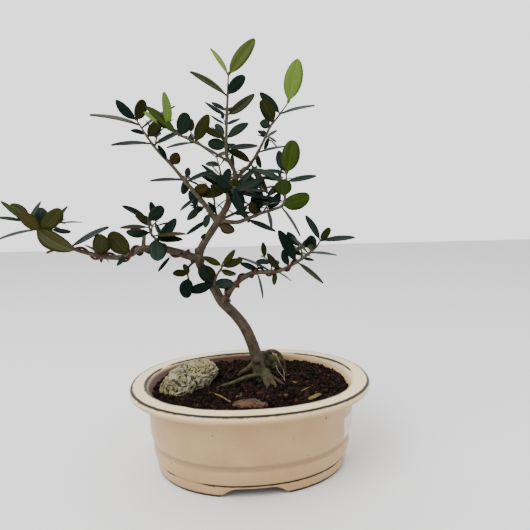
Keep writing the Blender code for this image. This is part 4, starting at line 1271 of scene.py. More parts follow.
LIMBS = (
    Limb("leader", ((-9.5, 5, 170), (-7.5, 5, 176), (-7.5, 5, 181.5), (-10, 5, 186), (-12, 5, 192),
          (-11.5, 4, 205.5), (-10.5, 3, 222.5), (-9.5, 3, 238.5)), (1.4, 0.6), 0.3),
    Limb("bough_left", ((-30.5, 1, 128), (-40, -4, 132), (-50.5, -8, 135.5), (-63, -12, 136),
          (-71.5, -14, 132), (-82, -16, 132.5), (-91, -17, 135), (-100, -18, 138.5), (-109, -19, 144.5),
          (-116.5, -20, 149.5), (-125.5, -20, 155.5)), (2.6, 0.6), 0.36),
    Limb("bough_diagonal", ((-18.5, 4, 149.5), (-24.5, 6, 159), (-31, 8, 167.5), (-38.5, 11, 176.5),
          (-46.5, 14, 186.5), (-54.5, 17, 195), (-60.5, 19, 203.5), (-68, 22, 216)), (1.8, 0.6), 0.22),
    Limb("bough_right", ((-17.5, 4, 151), (-7.5, 0, 150), (-2, -3, 151.5), (8, -8, 155.5), (20, -12, 160),
          (21.5, -12, 170), (22.5, -12, 180)), (1.5, 0.6), 0.24),
    Limb("bough_low", ((-16.5, 0.5, 100), (-14, -3, 105), (-10.5, -5.5, 111), (-4, -8, 117),
          (4, -10, 120.5), (14.5, -12, 120.5), (23.5, -14, 124), (31, -16, 129), (37.5, -17, 134),
          (42, -18, 140.5)), (2.2, 0.6), 0.4),
    Limb("bough_lookout", ((-10, 5, 167), (-5.5, 7, 177), (2.5, 8, 185), (7, 10, 191.5), (12, 12, 200.5),
          (16.5, 14, 209.5), (22, 16, 216), (29.5, 18, 226)), (1.3, 0.55), 0.3),
    Limb("riser", ((-51, -8, 136), (-54, -9, 141), (-57, -10.5, 145), (-57.5, -12, 149),
          (-58, -13, 154)), (0.9, 0.55), 0.0),
    Limb("elbow", ((-30.5, 2, 128), (-35.5, -2, 125), (-37.5, -4, 121),
          (-36.5, -6, 117)), (1.0, 0.6), 0.0),
    Limb("crotch", ((-22, 1.5, 110), (-20.5, -4, 117), (-17, -8, 123),
          (-16, -12, 127.5)), (1.0, 0.6), 0.0),
    Limb("crest", ((-10.5, 5, 186.5), (-16, 1, 189.5), (-21.5, -3, 192.5), (-30, -7, 196.5),
          (-39.5, -11, 200.5), (-46, -12, 204)), (1.0, 0.6), 0.0),
    Limb("heart", ((-11, 5, 164), (-9, -8, 168), (-9, -20, 171)), (1.1, 0.6), 0.0),
    Limb("back_crown", ((-12.5, 5, 160), (-12, 17, 168), (-15, 29, 180),
          (-18, 35, 194)), (1.1, 0.6), 0.0),
    Limb("back_low", ((-18.5, 5, 150), (-19, 15, 154), (-20, 25, 160), (-20, 34, 168)), (1.1, 0.6), 0.0),
    Limb("back_right", ((-17.5, 4, 151.5), (-8, 14, 155), (4, 24, 162), (12, 30, 172)), (1.1, 0.6), 0.0),
)
LIMB = {limb.name: limb for limb in LIMBS}

WIRES = (
    Wire("wire_left", "bough_left", 0.12, 0.70, 4.0, 200.0,
         ((-104, -20.5, 138.5), (-108, -20, 137.5), (-112, -19, 136))),
    Wire("wire_low", "bough_low", 0.17, 0.74, 4.0, 150.0),
)

SPRAYS = (
    Spray("spray_apex", "leader", 63, turn=8, tones="PFODDOGOGD", shoots=(
        (0.06, (-13, 22, 204), (3, 0.35, 1.0), (11, 12), 40),
        (0.14, (-11, 20, 220), (2, 0.5, 1.0), (10, 11), 10)), blades=(
        (0.96, 26.8, -4, 54, 8), (0.96, 18.8, 174, 62, 5.6, 45), (0.72, 25.1, -166, 34, 7.5, 40),
        (0.73, 14.8, -16, 44, 6.5, 20), (0.48, 15, -168, 34, 4.5, 30), (0.49, 20.5, -16, 36, 6.1, -5),
        (0.21, 16.2, -18, 32, 4.9, 10), (0.21, 18, -164, 28, 5.4, 15), (0.12, 11.2, -166, 8, 6.5, -20),
        (0.1, 19.4, -18, 6, 5.8, -35))),
    Spray("spray_left", "bough_left", 5, tones="LDLLGGLLMTGGD", shoots=(
        (0.72, (-108, -6, 152), (3, 0.35, 1.0), (10, 11), 20),
        (0.3, (-86, 0, 134), (2, 0.5, 1.0), (10, 11), 30)), blades=(
        (0.85, 25.8, -26, -26, 9.1), (0.55, 25.4, -16, 30, 7.6, -50), (0.04, 16.6, -132, 44, 9.6),
        (0.29, 15.6, -70, 48, 8.9, 25), (0.94, 13.2, -162, 16, 4, 55), (0.83, 19.2, -154, -8, 5.8, 60),
        (0.9, 17.1, 156, 44, 6.2, 10), (0.8, 17.7, -26, 38, 7.6, 25), (0.96, 14.1, -166, 52, 4.2, 60),
        (0.81, 13.5, -124, 42, 6.5, 10), (0.8, 17.1, 106, 54, 7.5, 20), (0.91, 14.7, 54, 60, 4.4, -35),
        (0.76, 19.7, 40, 54, 5.9, -40))),
    Spray("spray_riser", "riser", 27, tones="DDYDDYGD", shoots=(
        (0.5, (-55, 0, 151), (2, 0.5, 1.0), (11, 12)),), blades=(
        (0.96, 15.6, -166, 34, 4.7, 45), (0.92, 11.6, -8, 40, 6.7, 15), (0.72, 16.1, -164, 6, 4.8, 50),
        (0.56, 16, 166, 2, 5.1, -10), (0.3, 17.7, 24, 44, 5.8, 10), (0.45, 19.7, -16, 8, 5.9, -55),
        (0.3, 16.2, -90, -48, 9.4, -10), (0.3, 16.3, -22, 4, 4.9, -30))),
    Spray("spray_elbow", "elbow", 11, tones="ODO", blades=(
        (0.81, 8.9, -158, 8, 4.1, -5), (0.96, 12.2, -112, -68, 7.6, -5), (0.85, 8, -112, 58, 3.5))),
    Spray("spray_crotch", "crotch", 61, tones="DDGOOOOO", blades=(
        (0.2, 17.5, -158, -12, 5.9, -5), (0.2, 15.4, -132, 42, 8.8, -5), (0.2, 13, -36, 2, 6, 5),
        (0.81, 13.8, -28, 18, 4.7, 5), (0.84, 12.5, -162, 28, 3.8, -5), (0.89, 11.7, -20, 48, 3.5),
        (0.68, 10.4, -28, -12, 3.5, 5), (0.35, 9.6, -126, 44, 2.9, -5))),
    Spray("spray_low", "bough_low", 60, tones="DDODDOGODDOODODOD", shoots=(
        (0.62, (30, -6, 135), (3, 0.35, 1.0), (10, 11), 50),
        (0.2, (10, 2, 128), (2, 0.5, 1.0), (10, 11), 10)), blades=(
        (0.55, 22.1, -154, 60, 6.6, 15), (0.96, 20.1, -12, 10, 6, -50), (0.56, 19.9, -18, -34, 6, -50),
        (0.19, 22, 170, 30, 6.6, 70), (0.96, 17, 166, 64, 5.1, 30), (0.96, 9.5, -42, 50, 4.1, -5),
        (0.76, 18.3, 14, -2, 5.5, -60), (0.32, 14.4, -156, 54, 4.3, 5), (0, 16.3, -24, -72, 4.9, -65),
        (0.44, 10.8, -134, 58, 4.1, -15), (0.23, 8.4, -108, -58, 3, 5), (0.27, 12.7, 22, -28, 3.8, -60),
        (0.74, 15.9, -152, 44, 4.8, 55), (0.68, 12.5, 154, 22, 3.8, 40), (0.8, 11.4, -108, 48, 6.4, -20),
        (0.87, 12.3, -122, 20, 3.7, -5), (0.64, 7.2, -26, -6, 2.2, -25))),
    Spray("spray_diagonal", "bough_diagonal", 69, tones="ODODDDODODDYDYD", shoots=(
        (0.65, (-50, 32, 212), (3, 0.35, 1.0), (11, 13), 60),
        (0.2, (-36, 26, 178), (3, 0.35, 1.0), (11, 12), 15)), blades=(
        (0.92, 32.5, 170, 18, 9.8, 55), (0.96, 16.9, -164, 44, 5.7, -10), (0.96, 13.2, -36, 62, 6.9, 20),
        (0.88, 26.1, 16, 40, 7.8, -55), (0.7, 24.3, -170, 2, 7.3, 50), (0.68, 20.9, -12, 28, 6.3, -40),
        (0, 18, -24, 0, 6, 15), (0.23, 20.5, -172, 4, 6.1, 55), (0.77, 14.2, -38, 38, 6.6, 25),
        (0.8, 9.4, -172, 18, 2.8, 10), (0.47, 11.4, -128, 52, 3.4, 25), (0.42, 12, -64, 26, 6.5, 35),
        (0.21, 19.7, -24, 22, 5.9, -45), (0.09, 11.2, -42, 10, 6.6, 25), (0, 14.6, -156, -30, 4.4, 50))),
    Spray("spray_crest", "crest", 60, tones="FMFDOGM", shoots=(
        (0.45, (-33, 10, 205), (2, 0.5, 1.0), (9, 10)),), blades=(
        (0.96, 20, -90, 84, 6, 45), (0.83, 21.8, -154, 42, 6.6, 35), (0.94, 18.7, 164, 40, 5.6, 35),
        (0.78, 13, -54, 64, 7.7, 10), (0.58, 17.4, -32, 56, 6.7, 15), (0.58, 16.3, -170, -6, 4.9, 50),
        (0.96, 7.9, -142, 30, 2.4, 5))),
    Spray("spray_lookout", "bough_lookout", 42, tones="FDGODOGGY", shoots=(
        (0.4, (17, 28, 203), (3, 0.35, 1.0), (10, 11), 30),), blades=(
        (0.96, 28.5, 2, 76, 10.8), (0.78, 19.5, 162, 50, 5.8, 5), (0.79, 24.4, 10, 20, 7.3, -50),
        (0.62, 15.8, -138, 52, 8, -20), (0.2, 20.6, 12, 18, 6.2, -55), (0.04, 16.1, -162, 28, 4.8, 10),
        (0.57, 9.5, -134, 6, 5.5, -35), (0.18, 10.5, 60, -58, 3.2, 15), (0.01, 21.9, -34, -54, 6.6, -40))),
    Spray("spray_heart", "heart", 17, tones="DDDODDDDDDO", blades=(
        (0.58, 20.5, -8, 24, 6.2, -15), (0.6, 21.6, -10, -8, 6.5, -45), (0.4, 24.7, 174, 50, 7.4, 55),
        (0.52, 14.4, -154, 14, 4.5, -20), (0.82, 17.2, -54, -62, 5.3, 5), (0.69, 21.6, 168, 22, 6.5, 40),
        (0.77, 13.3, -150, 32, 5.5, -15), (0.74, 20.3, -18, 0, 6.1, -55), (0.44, 20.4, 172, 46, 6.1, 45),
        (0.44, 25.3, 26, 36, 7.6, -50), (0.94, 9.9, -86, 16, 6.5, 55))),
    Spray("spray_right", "bough_right", 51, tones="MMMGGGDDYDDDD", shoots=(
        (0.3, (12, 4, 165), (2, 0.5, 1.0), (11, 12), 20),
        (0.7, (19, 4, 175), (2, 0.5, 1.0), (10, 11), 70)), blades=(
        (0.96, 19.7, 0, 78, 9.9, -5), (0.56, 16.9, -16, 18, 8.8, 10), (0.68, 10.8, -106, 56, 9.8, -15),
        (0.86, 18, -14, 14, 5.4, -40), (0.85, 20.6, -168, 26, 6.2, 40), (0.06, 19.2, -14, -18, 5.8, -45),
        (0.55, 21.1, -18, -52, 6.3, -60), (0.05, 19.6, -146, 64, 5.9, 35),
        (0.21, 10.3, -118, 44, 5.2, -15), (0.62, 17.4, -174, 10, 5.2, 35),
        (0.96, 16.6, 120, 62, 5.4, -15), (0.19, 16, -78, 64, 7, -5), (0.96, 14.6, 160, 14, 4.4, 40))),
    Spray("spray_back_crown", "back_crown", 21, (5, 0.3, 1.0), (13, 15), 30, shoots=(
        (0.5, (-2, 34, 184), (3, 0.3, 1.0), (12, 13)),)),
    Spray("spray_back_low", "back_low", 23, (4, 0.35, 1.0), (11, 13), 60, shoots=(
        (0.5, (-31, 20, 160), (2, 0.6, 1.0), (11, 12), 40),)),
    Spray("spray_back_right", "back_right", 41, (5, 0.3, 1.0), (12, 14), 10, shoots=(
        (0.5, (14, 14, 158), (2, 0.6, 1.0), (11, 13), 20),)),
)


# ---------------------------------------------------------------- trunk, boughs and wires
@dataclass
class Timber:
    """The trunk with its surface roots and the bare boughs, as one body with bark relief."""
    trunk: tuple[Point, ...] = (
        (6, -2, 46), (4.5, -2, 59.5), (2.5, -1, 69.5), (-2.5, 0, 82.5), (-8.5, 1, 91.5),
        (-17, 1, 101), (-22, 1.5, 110), (-27.5, 2, 119.5), (-30.5, 2, 127.5), (-28, 3, 136),
        (-18.5, 4, 150), (-12, 5, 160.5), (-9.5, 5, 169.5))
    trunk_radii: tuple[float, float] = (4.0, 1.9)
    grain_size: float = 0.34        # of the remeshed surface
    smoothing: int = 6
    depth_share: float = 0.075      # relief as a share of the radius
    grain_stretch: float = 0.3      # how long the bark's marks run along a limb
    finish: Finish = Bark("bark", moss_top=0.072)

    AT_ONCE = 4000                  # points placed in one step
    LIMB_GAP = 31.0                 # between the bark marks of one limb and the next
    # route and radii of each surface root
    ROOTS = (
        (((4.5, -2, 62), (7, -4, 56.5), (8.5, -8, 53), (9, -13, 50.5), (9.5, -16.5, 48.2)), (3.2, 1.2)),
        (((7.5, -5, 55.5), (11, -9, 53), (13.5, -13, 50.5), (15, -16, 48.3)), (2.2, 1.0)),
        (((8, -6, 54.5), (3, -5, 54.6), (-4, -6, 53.6), (-12, -8.5, 51.8), (-19, -10, 50.4),
          (-24, -11, 48.8)), (1.5, 0.8)),
        (((3, 0, 61), (-1, 3, 56), (-5, 7, 52.5), (-8, 9, 49)), (2.4, 1.1)),
        (((5, 0, 60), (10, 4, 55), (15, 7, 51.5), (19, 9, 48.8)), (2.2, 0.9)),
        (((4, 1, 60), (5, 7, 54), (6, 13, 49.5)), (2.0, 0.9)),
        (((7, -3, 57), (13, -6, 53), (18, -10, 50.5), (21, -12, 48.6)), (1.6, 0.8)),
        (((5, 0, 63), (9.5, 4, 65.5), (14.3, 5, 66.4), (19, 6, 64), (22, 6, 58), (23, 6, 49)), (1.6, 0.9)),
        (((4, -1, 64), (7.5, 2, 66.5), (10, 4, 65), (14, 6, 61), (16, 7, 54), (17, 7, 49)), (1.6, 0.8)),
        (((5, 0, 62), (9, 5, 61), (14, 7, 60), (18, 8, 56), (20, 9, 49)), (2.2, 1.0)),
    )
    # middle and radius of each knob or collar
    KNOBS = (
        ((3.6, -4.4, 64.0), 2.6), ((-4.6, -2.2, 83.5), 2.0), ((-12.6, -1.6, 96.5), 1.9),
        ((-21.2, -0.2, 106.5), 2.0), ((-29.8, 0.6, 127.8), 3.1), ((-16.9, 1.4, 100.6), 3.2),
        ((-17.6, 3.6, 150.6), 2.6), ((-30.6, 1.4, 133.0), 2.4), ((8.6, -3.4, 55.0), 3.4),
        ((-61.4, -12.0, 136.2), 1.9), ((-12.0, 5.0, 160.6), 2.2), ((13.0, 5.5, 61.5), 3.2),
        ((18.0, 6.5, 60.0), 2.8), ((15.5, 6.0, 56.5), 3.4), ((10.0, 4.5, 58.5), 3.0),
    )
    STUBS = (
        (((-61.5, -12, 135.5), (-60.5, -12, 144)), (1.3, 1.1)),
        (((-26.8, -1.0, 118.6), (-29.2, -3.2, 120.6)), (1.5, 1.1)),
    )

    def tubes(self) -> list[Tube]:
        """Every limb as a rod: trunk, boughs, roots and stubs."""
        path = smooth_path(self.trunk, 8)
        found = [Tube(path, taper(*self.trunk_radii, len(path)), 24)]
        for limb in LIMBS:
            if not limb.bough:
                continue
            whole = limb.path(12)
            past = 1.5 * MM / path_length(whole)
            inner = piece_of_path(whole, 0.0, limb.bough + past, 40)
            found.append(Tube(inner, taper(limb.radii[0], limb.radius(limb.bough), len(inner)), 16))
        for route, radii in (*self.ROOTS, *self.STUBS):
            path = smooth_path(route, 8)
            found.append(Tube(path, taper(*radii, len(path)), 12))
        return found

    def mass(self, tubes: list[Tube]) -> Object:
        """All the rods and knobs melted into one smooth body, open nowhere."""
        shape = bmesh.new()
        for tube in tubes:
            tube.add_to(shape)
        for middle, radius in self.KNOBS:
            ball = bmesh.ops.create_icosphere(shape, subdivisions=3, radius=radius * MM)
            bmesh.ops.translate(shape, verts=ball["verts"], vec=metres(middle))
        wood = from_bmesh("wood", shape)
        remesh = wood.modifiers.new("melt", "REMESH")
        remesh.mode = "VOXEL"
        remesh.voxel_size = self.grain_size * MM
        smooth = wood.modifiers.new("smooth", "SMOOTH")
        smooth.iterations = self.smoothing
        return flatten(wood)

    def local_places(self, places: np.ndarray, tubes: list[Tube]) -> tuple[np.ndarray, np.ndarray]:
        """Where each point is on its own limb.

        Args:
            places: The points, in metres.
            tubes: The limbs.

        Returns:
            For each point its place across and along its limb, in millimetres with the
            length pressed together, and its limb's radius there.
        """
        rows = []
        for number, tube in enumerate(tubes):
            run = 0.0
            for i, (place, radius, frame_here) in enumerate(zip(tube.path, tube.radii, tube.frames())):
                run += (place - tube.path[i - 1]).length / MM if i else 0.0
                rows.append((*place, radius, run, number, *(part for axis in frame_here for part in axis)))
        table = np.array(rows)
        centres, axes = table[:, :3], table[:, 6:].reshape(-1, 3, 3)
        radii, lengths, numbers = table[:, 3:6].T
        grain, own = np.empty_like(places), np.empty(len(places))
        for start in range(0, len(places), self.AT_ONCE):
            here = slice(start, start + self.AT_ONCE)
            part = places[here]
            offset = (part[:, None, :] - centres[None]) / MM
            near = (np.linalg.norm(offset, axis=2) - radii).argmin(axis=1)
            offset = offset[np.arange(len(part)), near]
            local = np.einsum("nj,nkj->nk", offset, axes[near])
            grain[here, 0] = local[:, 1] + self.LIMB_GAP * numbers[near]
            grain[here, 1] = local[:, 2]
            grain[here, 2] = (local[:, 0] + lengths[near]) * self.grain_stretch
            own[here] = radii[near]
        return grain, own

    def relief(self, grain: Vector) -> float:
        """Height of the bark at a place on its limb: long flutes, plates and pores."""
        flute = noise.noise(grain * 0.30)
        plate = 1.0 - 2.4 * abs(noise.noise(grain * Vector((0.75, 0.75, 1.5))))
        pore = noise.noise(grain * 2.6)
        return 0.6 * flute + 0.28 * plate + 0.18 * pore

    def build(self) -> None:
        """Make the wood, raise its bark and set it in the frame."""
        tubes = self.tubes()
        wood = self.mass(tubes)
        mesh = wood.data
        places, normals = np.empty(len(mesh.vertices) * 3), np.empty(len(mesh.vertices) * 3)
        mesh.vertices.foreach_get("co", places)
        mesh.vertex_normals.foreach_get("vector", normals)
        places = places.reshape(-1, 3)
        grain, radii = self.local_places(places, tubes)
        heights = np.array([self.relief(Vector(spot)) for spot in grain])
        places += normals.reshape(-1, 3) * (heights * radii * self.depth_share * MM)[:, None]
        mesh.vertices.foreach_set("co", places.ravel())
        mesh.update()
        attach(mesh, "grain", "FLOAT_VECTOR", grain.astype(np.float32).ravel())
        attach(mesh, "relief", "FLOAT", heights.astype(np.float32))
        boughs = [limb.name for limb in LIMBS if limb.bough]
        settle(finished(wood, self.finish, 180.0), ["trunk", *boughs])


@dataclass
class TrainingWires:
    """The wires that hold two boughs in shape."""
    radius: float = 0.75
    lift: float = 0.72              # from the bark to the wire's middle
    steps: int = 28                 # points in one turn
    lead: float = 1.5               # turns wound before the limb stands clear of its collar
    first_share: float = 0.015      # of the limb's length
    collar_lift: float = 1.1        # how much further out the wire runs over the collar
    collar_share: float = 0.05
    sides: int = 12
    finish: Finish = Copper("anodised wire")

    def coil(self, wire: Wire, limb: Limb) -> list[Vector]:
        """Points of a wire wound round its limb."""
        path = limb.path(12)
        count = round(wire.turns * self.steps)
        points = []
        for i in range(-round(self.lead * self.steps), count + 1):
            share = wire.start + (wire.end - wire.start) * i / count
            if share < self.first_share:
                continue
            place, direction = along(path, share)
            side = direction.cross(UP).normalized()
            angle = math.radians(wire.phase + 360.0 * wire.turns * i / count)
            outward = side * math.cos(angle) + side.cross(direction) * math.sin(angle)
            collar = self.collar_lift * math.exp(-(share / self.collar_share) ** 2)
            points.append(place + outward * (limb.radius(share) + self.lift + collar) * MM)
        return points

    def build(self, rods: RodGrower) -> None:
        """Wind every wire."""
        for wire in WIRES:
            points = self.coil(wire, LIMB[wire.limb])
            if wire.tail:
                points += smooth_path([points[-1] / MM, *wire.tail], 6)[1:]
            line = points, [self.radius] * len(points)
            wound = rods.lay(wire.name + "_wound", [line], self.sides, self.finish, 50.0)
            settle(wound, [wire.name])


# ---------------------------------------------------------------- leaves and twigs
@dataclass(frozen=True)
class LeafForm:
    """The shape of a leaf of unit length and width, rooted at the origin and pointing along Y."""
    name: str
    skew: float                     # under 1 carries the widest part towards the stalk
    blunt: float                    # under 1 rounds both ends
    sway: float = 0.0
    twist: float = 0.0              # degrees at the tip
    cup: float = 0.0
    droop: float = 0.10             # share of the length that the tip sinks
    stalk: float = 0.09             # share of the length that is stalk
    stalk_half: float = 0.085
    rib_half: float = 0.022
    groove: float = 0.010
    thickness: float = 0.016

    STATIONS = (0.0, 0.07, 0.12, 0.19, 0.29, 0.41, 0.54, 0.67, 0.79, 0.89, 0.955, 0.988)
    SHOULDER = 0.55                 # where the blade starts to fall, as a share of its half width
    # two neighbours in a cross section, and what their strip is: top 0, rib 1, underside 2
    STRIPS = ((0, 1, 0), (1, 2, 0), (2, 3, 1), (3, 4, 0), (4, 5, 0), (6, 0, 2), (5, 6, 2))

    def half_width(self, share: float) -> float:
        """Half the width at a share of the length."""
        if share <= self.stalk:
            return self.stalk_half
        inner = (share - self.stalk) / (1.0 - self.stalk)
        return max(self.stalk_half, 0.5 * math.sin(math.pi * inner ** self.skew) ** self.blunt)

    def spot(self, share: float, across: float, lift: float = 0.0) -> Vector:
        """A point of the leaf.

        Args:
            share: How far along it.
            across: How far out, in half widths of the whole leaf.
            lift: Height over its surface.

        Returns:
            The point.
        """
        angle = math.radians(self.twist) * share
        height = self.cup * (across * across - 0.1) * math.sin(math.pi * share) + lift
        x = across * math.cos(angle) - height * math.sin(angle) + self.sway * math.sin(math.pi * share)
        z = height * math.cos(angle) + 0.35 * across * math.sin(angle) - self.droop * share * share
        return Vector((x, share, z))

    def mesh(self) -> Mesh:
        """Build the leaf as one closed skin, its faces marked top, rib or underside."""
        shape = bmesh.new()
        side = shape.faces.layers.int.new("side")
        rows = []
        for share in self.STATIONS:
            half = self.half_width(share)
            rib = min(self.rib_half, half * 0.5)
            outs = (-half, -half * self.SHOULDER, -rib, rib, half * self.SHOULDER, half)
            lifts = (0.0, 0.004, -self.groove, -self.groove, 0.004, 0.0)
            row = [shape.verts.new(self.spot(share, out, lift)) for out, lift in zip(outs, lifts)]
            row.append(shape.verts.new(self.spot(share, 0.0, -self.thickness - 2 * self.groove)))
            rows.append(row)
        tip = shape.verts.new(self.spot(1.0, 0.0))
        for lower, upper in zip(rows, rows[1:]):
            for a, b, part in self.STRIPS:
                shape.faces.new((lower[a], lower[b], upper[b], upper[a]))[side] = part
        for a, b, part in self.STRIPS:
            shape.faces.new((rows[-1][a], rows[-1][b], tip))[side] = part
        shape.faces.new(list(reversed(rows[0][:6])) + [rows[0][6]])[side] = 2
        mesh = to_mesh(self.name, shape, outward=True)
        mesh.shade_smooth()
        return mesh


LEAF_FORMS = (
    LeafForm("form_0", 0.92, 0.53, 0.0, 5.0, 0.08),
    LeafForm("form_1", 0.90, 0.51, 0.14, 14.0, 0.14),
    LeafForm("form_2", 0.98, 0.57, -0.12, -12.0, -0.06),
    LeafForm("form_3", 0.98, 0.42, 0.03, 4.0, 0.12),
    LeafForm("form_4", 0.94, 0.41, 0.08, 10.0, -0.08),
    LeafForm("form_5", 1.02, 0.45, -0.07, -9.0, 0.14),
    LeafForm("form_6", 0.95, 0.52, 0.05, 2.0, 0.03),
)
FLAT_FORM = 6


@dataclass
class Leaf:
    """One leaf where it grows."""
    base: Vector
    direction: Vector
    face: Vector
    length: float               # millimetres, as the width
    width: float
    form: int
    shade: float


class Foliage:
    """One spray as it grows: its twigs, then its leaves by the seeded rule of the solids."""
    WIDTH_SHARE = 0.38
    SPLAY = 58.0                    # degrees between a leaf and its twig
    DROOP = 0.10
    LIGHT = Vector((0.1, -0.7, 0.6))
    AXIS_PULL = 0.4
    LAST_LEAF = 0.965
    SHOOT_RADII = (0.6, 0.45)
    SHOOT_BOW = 0.12
    STEM_STEP = 7.0
    SET_OUT = 0.3                   # a stem's start clear of its bough
    NUDGES = (0.0, 18.0, -18.0, 36.0, -36.0, 60.0, -60.0)
    BLADE_NUDGES = (0.0, 6.0, -6.0, 12.0, -12.0)
    BLADE_SHIFTS = (0.0, 0.02, -0.02, 0.04, -0.04, 0.06, -0.06)    # shares along the stem
    FRONT = Vector((0.0, -1.0, 0.25))
    TIP_ROOM = 0.05                 # how close a solid's leaf tip must be
    ROUND_SHARE = 0.42              # wider leaves than this have a rounded form
    EDGE_ON = 30.0                  # leaves tilted by more than this many degrees are flat
    MIX = "DDDDDDDDOOOOGGGM"        # tones dealt to the paired leaves
    TONES = {tone.name[0]: tone for tone in Tone}
    SWELLING = 0.22                 # of a twig at its leaves
    YOUNG_WOOD = 0.6                # the share of a twig past which it thins out
    THINNING = 0.35
    YOUNG = 0.12                    # chance of a young shoot beside a leaf

    def __init__(self, spray: Spray, limb: Limb) -> None:
        """Lay the stem and the shoots of a spray."""
        self.spray = spray
        self.shoots = [Shoot(*row) for row in spray.shoots]
        self.blades = [Blade(*row) for row in spray.blades]
        self.dice = random.Random(spray.seed)
        self.looks = random.Random(spray.seed + 1000)
        self.leaves: dict[Tone, list[Leaf]] = {tone: [] for tone in Tone}
        self.rods: list[tuple[list[Vector], list[float]]] = []
        self.skipped = 0
        tips = frame["nodes"][spray.name].data.vertices
        self.tips = KDTree(len(tips))
        for index, vert in enumerate(tips):
            self.tips.insert(vert.co - ORIGIN, index)
        self.tips.balance()
        path = limb.path(6)
        clear = self.SET_OUT * MM / path_length(path) if limb.bough else 0.0
        count = max(4, round((1 - limb.bough) * path_length(path) / (self.STEM_STEP * MM)))
        self.stem = piece_of_path(path, limb.bough + clear, 1.0, count)
        self.stem_radii = (limb.radius(limb.bough), limb.radii[1])
        self.routes = []
        for shoot in self.shoots:
            start, direction = along(self.stem, shoot.at)
            tip = metres(shoot.tip)
            middle = start.lerp(tip, 0.5) + direction * (tip - start).length * self.SHOOT_BOW
            self.routes.append(smooth_path([start / MM, middle / MM, tip / MM], 2))

    def twig(self, route: list[Vector], radii: tuple[float, float], nodes: Sequence[float]) -> None:
        """Lay a smooth rod through a route, a little thicker at its leaves.

        Args:
            route: The coarse points.
            radii: Its radii at the ends.
            nodes: The shares of its length where leaves stand.
        """
        path = smooth_path([place / MM for place in route], 6)
        widths = []
        for i, radius in enumerate(taper(*radii, len(path))):
            share = i / (len(path) - 1)
            near = min((abs(share - node) for node in nodes), default=1.0) * path_length(path) / MM
            young = max(0.0, (share - self.YOUNG_WOOD) / (1.0 - self.YOUNG_WOOD))
            swelling = self.SWELLING * math.exp(-(near / 0.9) ** 2)
            widths.append(radius * (0.92 + swelling) * (1.0 - self.THINNING * young * young))
        self.rods.append((path, widths))

    def new_leaf(self, base: Vector, direction: Vector, face: Vector, length: float, width: float) -> Leaf:
        """A leaf with a form that suits its measures and a shade of its own."""
        form = self.looks.randrange(3) + (3 if width / length > self.ROUND_SHARE else 0)
        return Leaf(base, direction, face, length, width, form, self.looks.random())

    def set_leaf(self, tone: Tone, leaf: Leaf, places: Sequence[tuple[Vector, Vector]],
                 nudges: Sequence[float]) -> Vector | None:
        """Set a leaf at the place and the turn about its twig where the solids have it.

        Args:
            tone: Its tone.
            leaf: The leaf before it is turned.
            places: Where it may be rooted, each with the twig's direction there.
            nudges: The turns that were tried, in degrees.

        Returns:
            Its direction, or None if the solids leave it out.
        """
        for (base, axis), nudge in itertools.product(places, nudges):
            toward, facing = turned(leaf.direction, nudge, axis), turned(leaf.face, nudge, axis)
            tip = base + (toward - facing * self.DROOP) * leaf.length * MM
            if self.tips.find(tip)[2] < self.TIP_ROOM * MM:
                self.leaves[tone].append(replace(leaf, base=base, direction=toward, face=facing))
                return toward
        self.skipped += 1
        return None

    def add_small(self, base: Vector, direction: Vector, tone: Tone, length: float, width: float) -> None:
        """Add a small leaf that the solids are too coarse to hold."""
        face = square_to(self.LIGHT + direction * self.AXIS_PULL, direction)
        face = turned(face, self.looks.uniform(-50.0, 50.0), direction)
        self.leaves[tone].append(self.new_leaf(base, direction, face, length, width))

    def small_pair(self, base: Vector, axis: Vector, tone: Tone, length: float, splay: float) -> None:
        """Add two small leaves opposite each other."""
        across = axis.orthogonal().normalized()
        across = Matrix.Rotation(self.looks.uniform(0.0, math.pi), 3, axis) @ across
        for sense in (1.0, -1.0):
            bend = math.radians(splay + self.looks.uniform(-8.0, 8.0))
            direction = (axis * math.cos(bend) + across * sense * math.sin(bend)).normalized()
            long = length * self.looks.uniform(0.8, 1.15)
            self.add_small(base, direction, tone, long, long * self.looks.uniform(0.26, 0.36))

    def young_shoot(self, base: Vector, axis: Vector, leaf_direction: Vector) -> None:
        """Grow a short shoot in the crook of a leaf."""
        direction = (axis * 0.8 + leaf_direction * 0.55 + self.LIGHT * 0.15).normalized()
        length = self.looks.uniform(3.0, 6.5)
        end = base + direction * length * MM
        bow = base.lerp(end, 0.5) + axis * 0.08 * length * MM
        self.rods.append((smooth_path([base / MM, bow / MM, end / MM], 4), taper(0.32, 0.24, 9)))
        tone = self.looks.choice((Tone.OLIVE, Tone.MOSS, Tone.GREY))
        if length > 4.5:
            self.small_pair(base.lerp(end, 0.6), direction, tone, self.looks.uniform(4.5, 6.5), 45.0)
        self.small_pair(end, direction, tone, self.looks.uniform(3.5, 5.5), 24.0)

    def add_blades(self) -> None:
        """The single leaves, each from its stem towards its own tip."""
        for blade, letter in zip(self.blades, self.spray.tones):
            places = [along(self.stem, max(0.0, min(blade.at + shift, self.LAST_LEAF)))
                      for shift in self.BLADE_SHIFTS]
            heading, rise = math.radians(blade.heading), math.radians(blade.rise)
            direction = Vector((math.cos(heading) * math.cos(rise),
                                math.sin(heading) * math.cos(rise), math.sin(rise)))
            face = turned(square_to(self.FRONT, direction), blade.tilt, direction)
            leaf = self.new_leaf(places[0][0], direction, face, blade.length, blade.width)
            if abs(blade.tilt) > self.EDGE_ON:
                leaf.form = FLAT_FORM
            self.set_leaf(self.TONES[letter], leaf, places, self.BLADE_NUDGES)

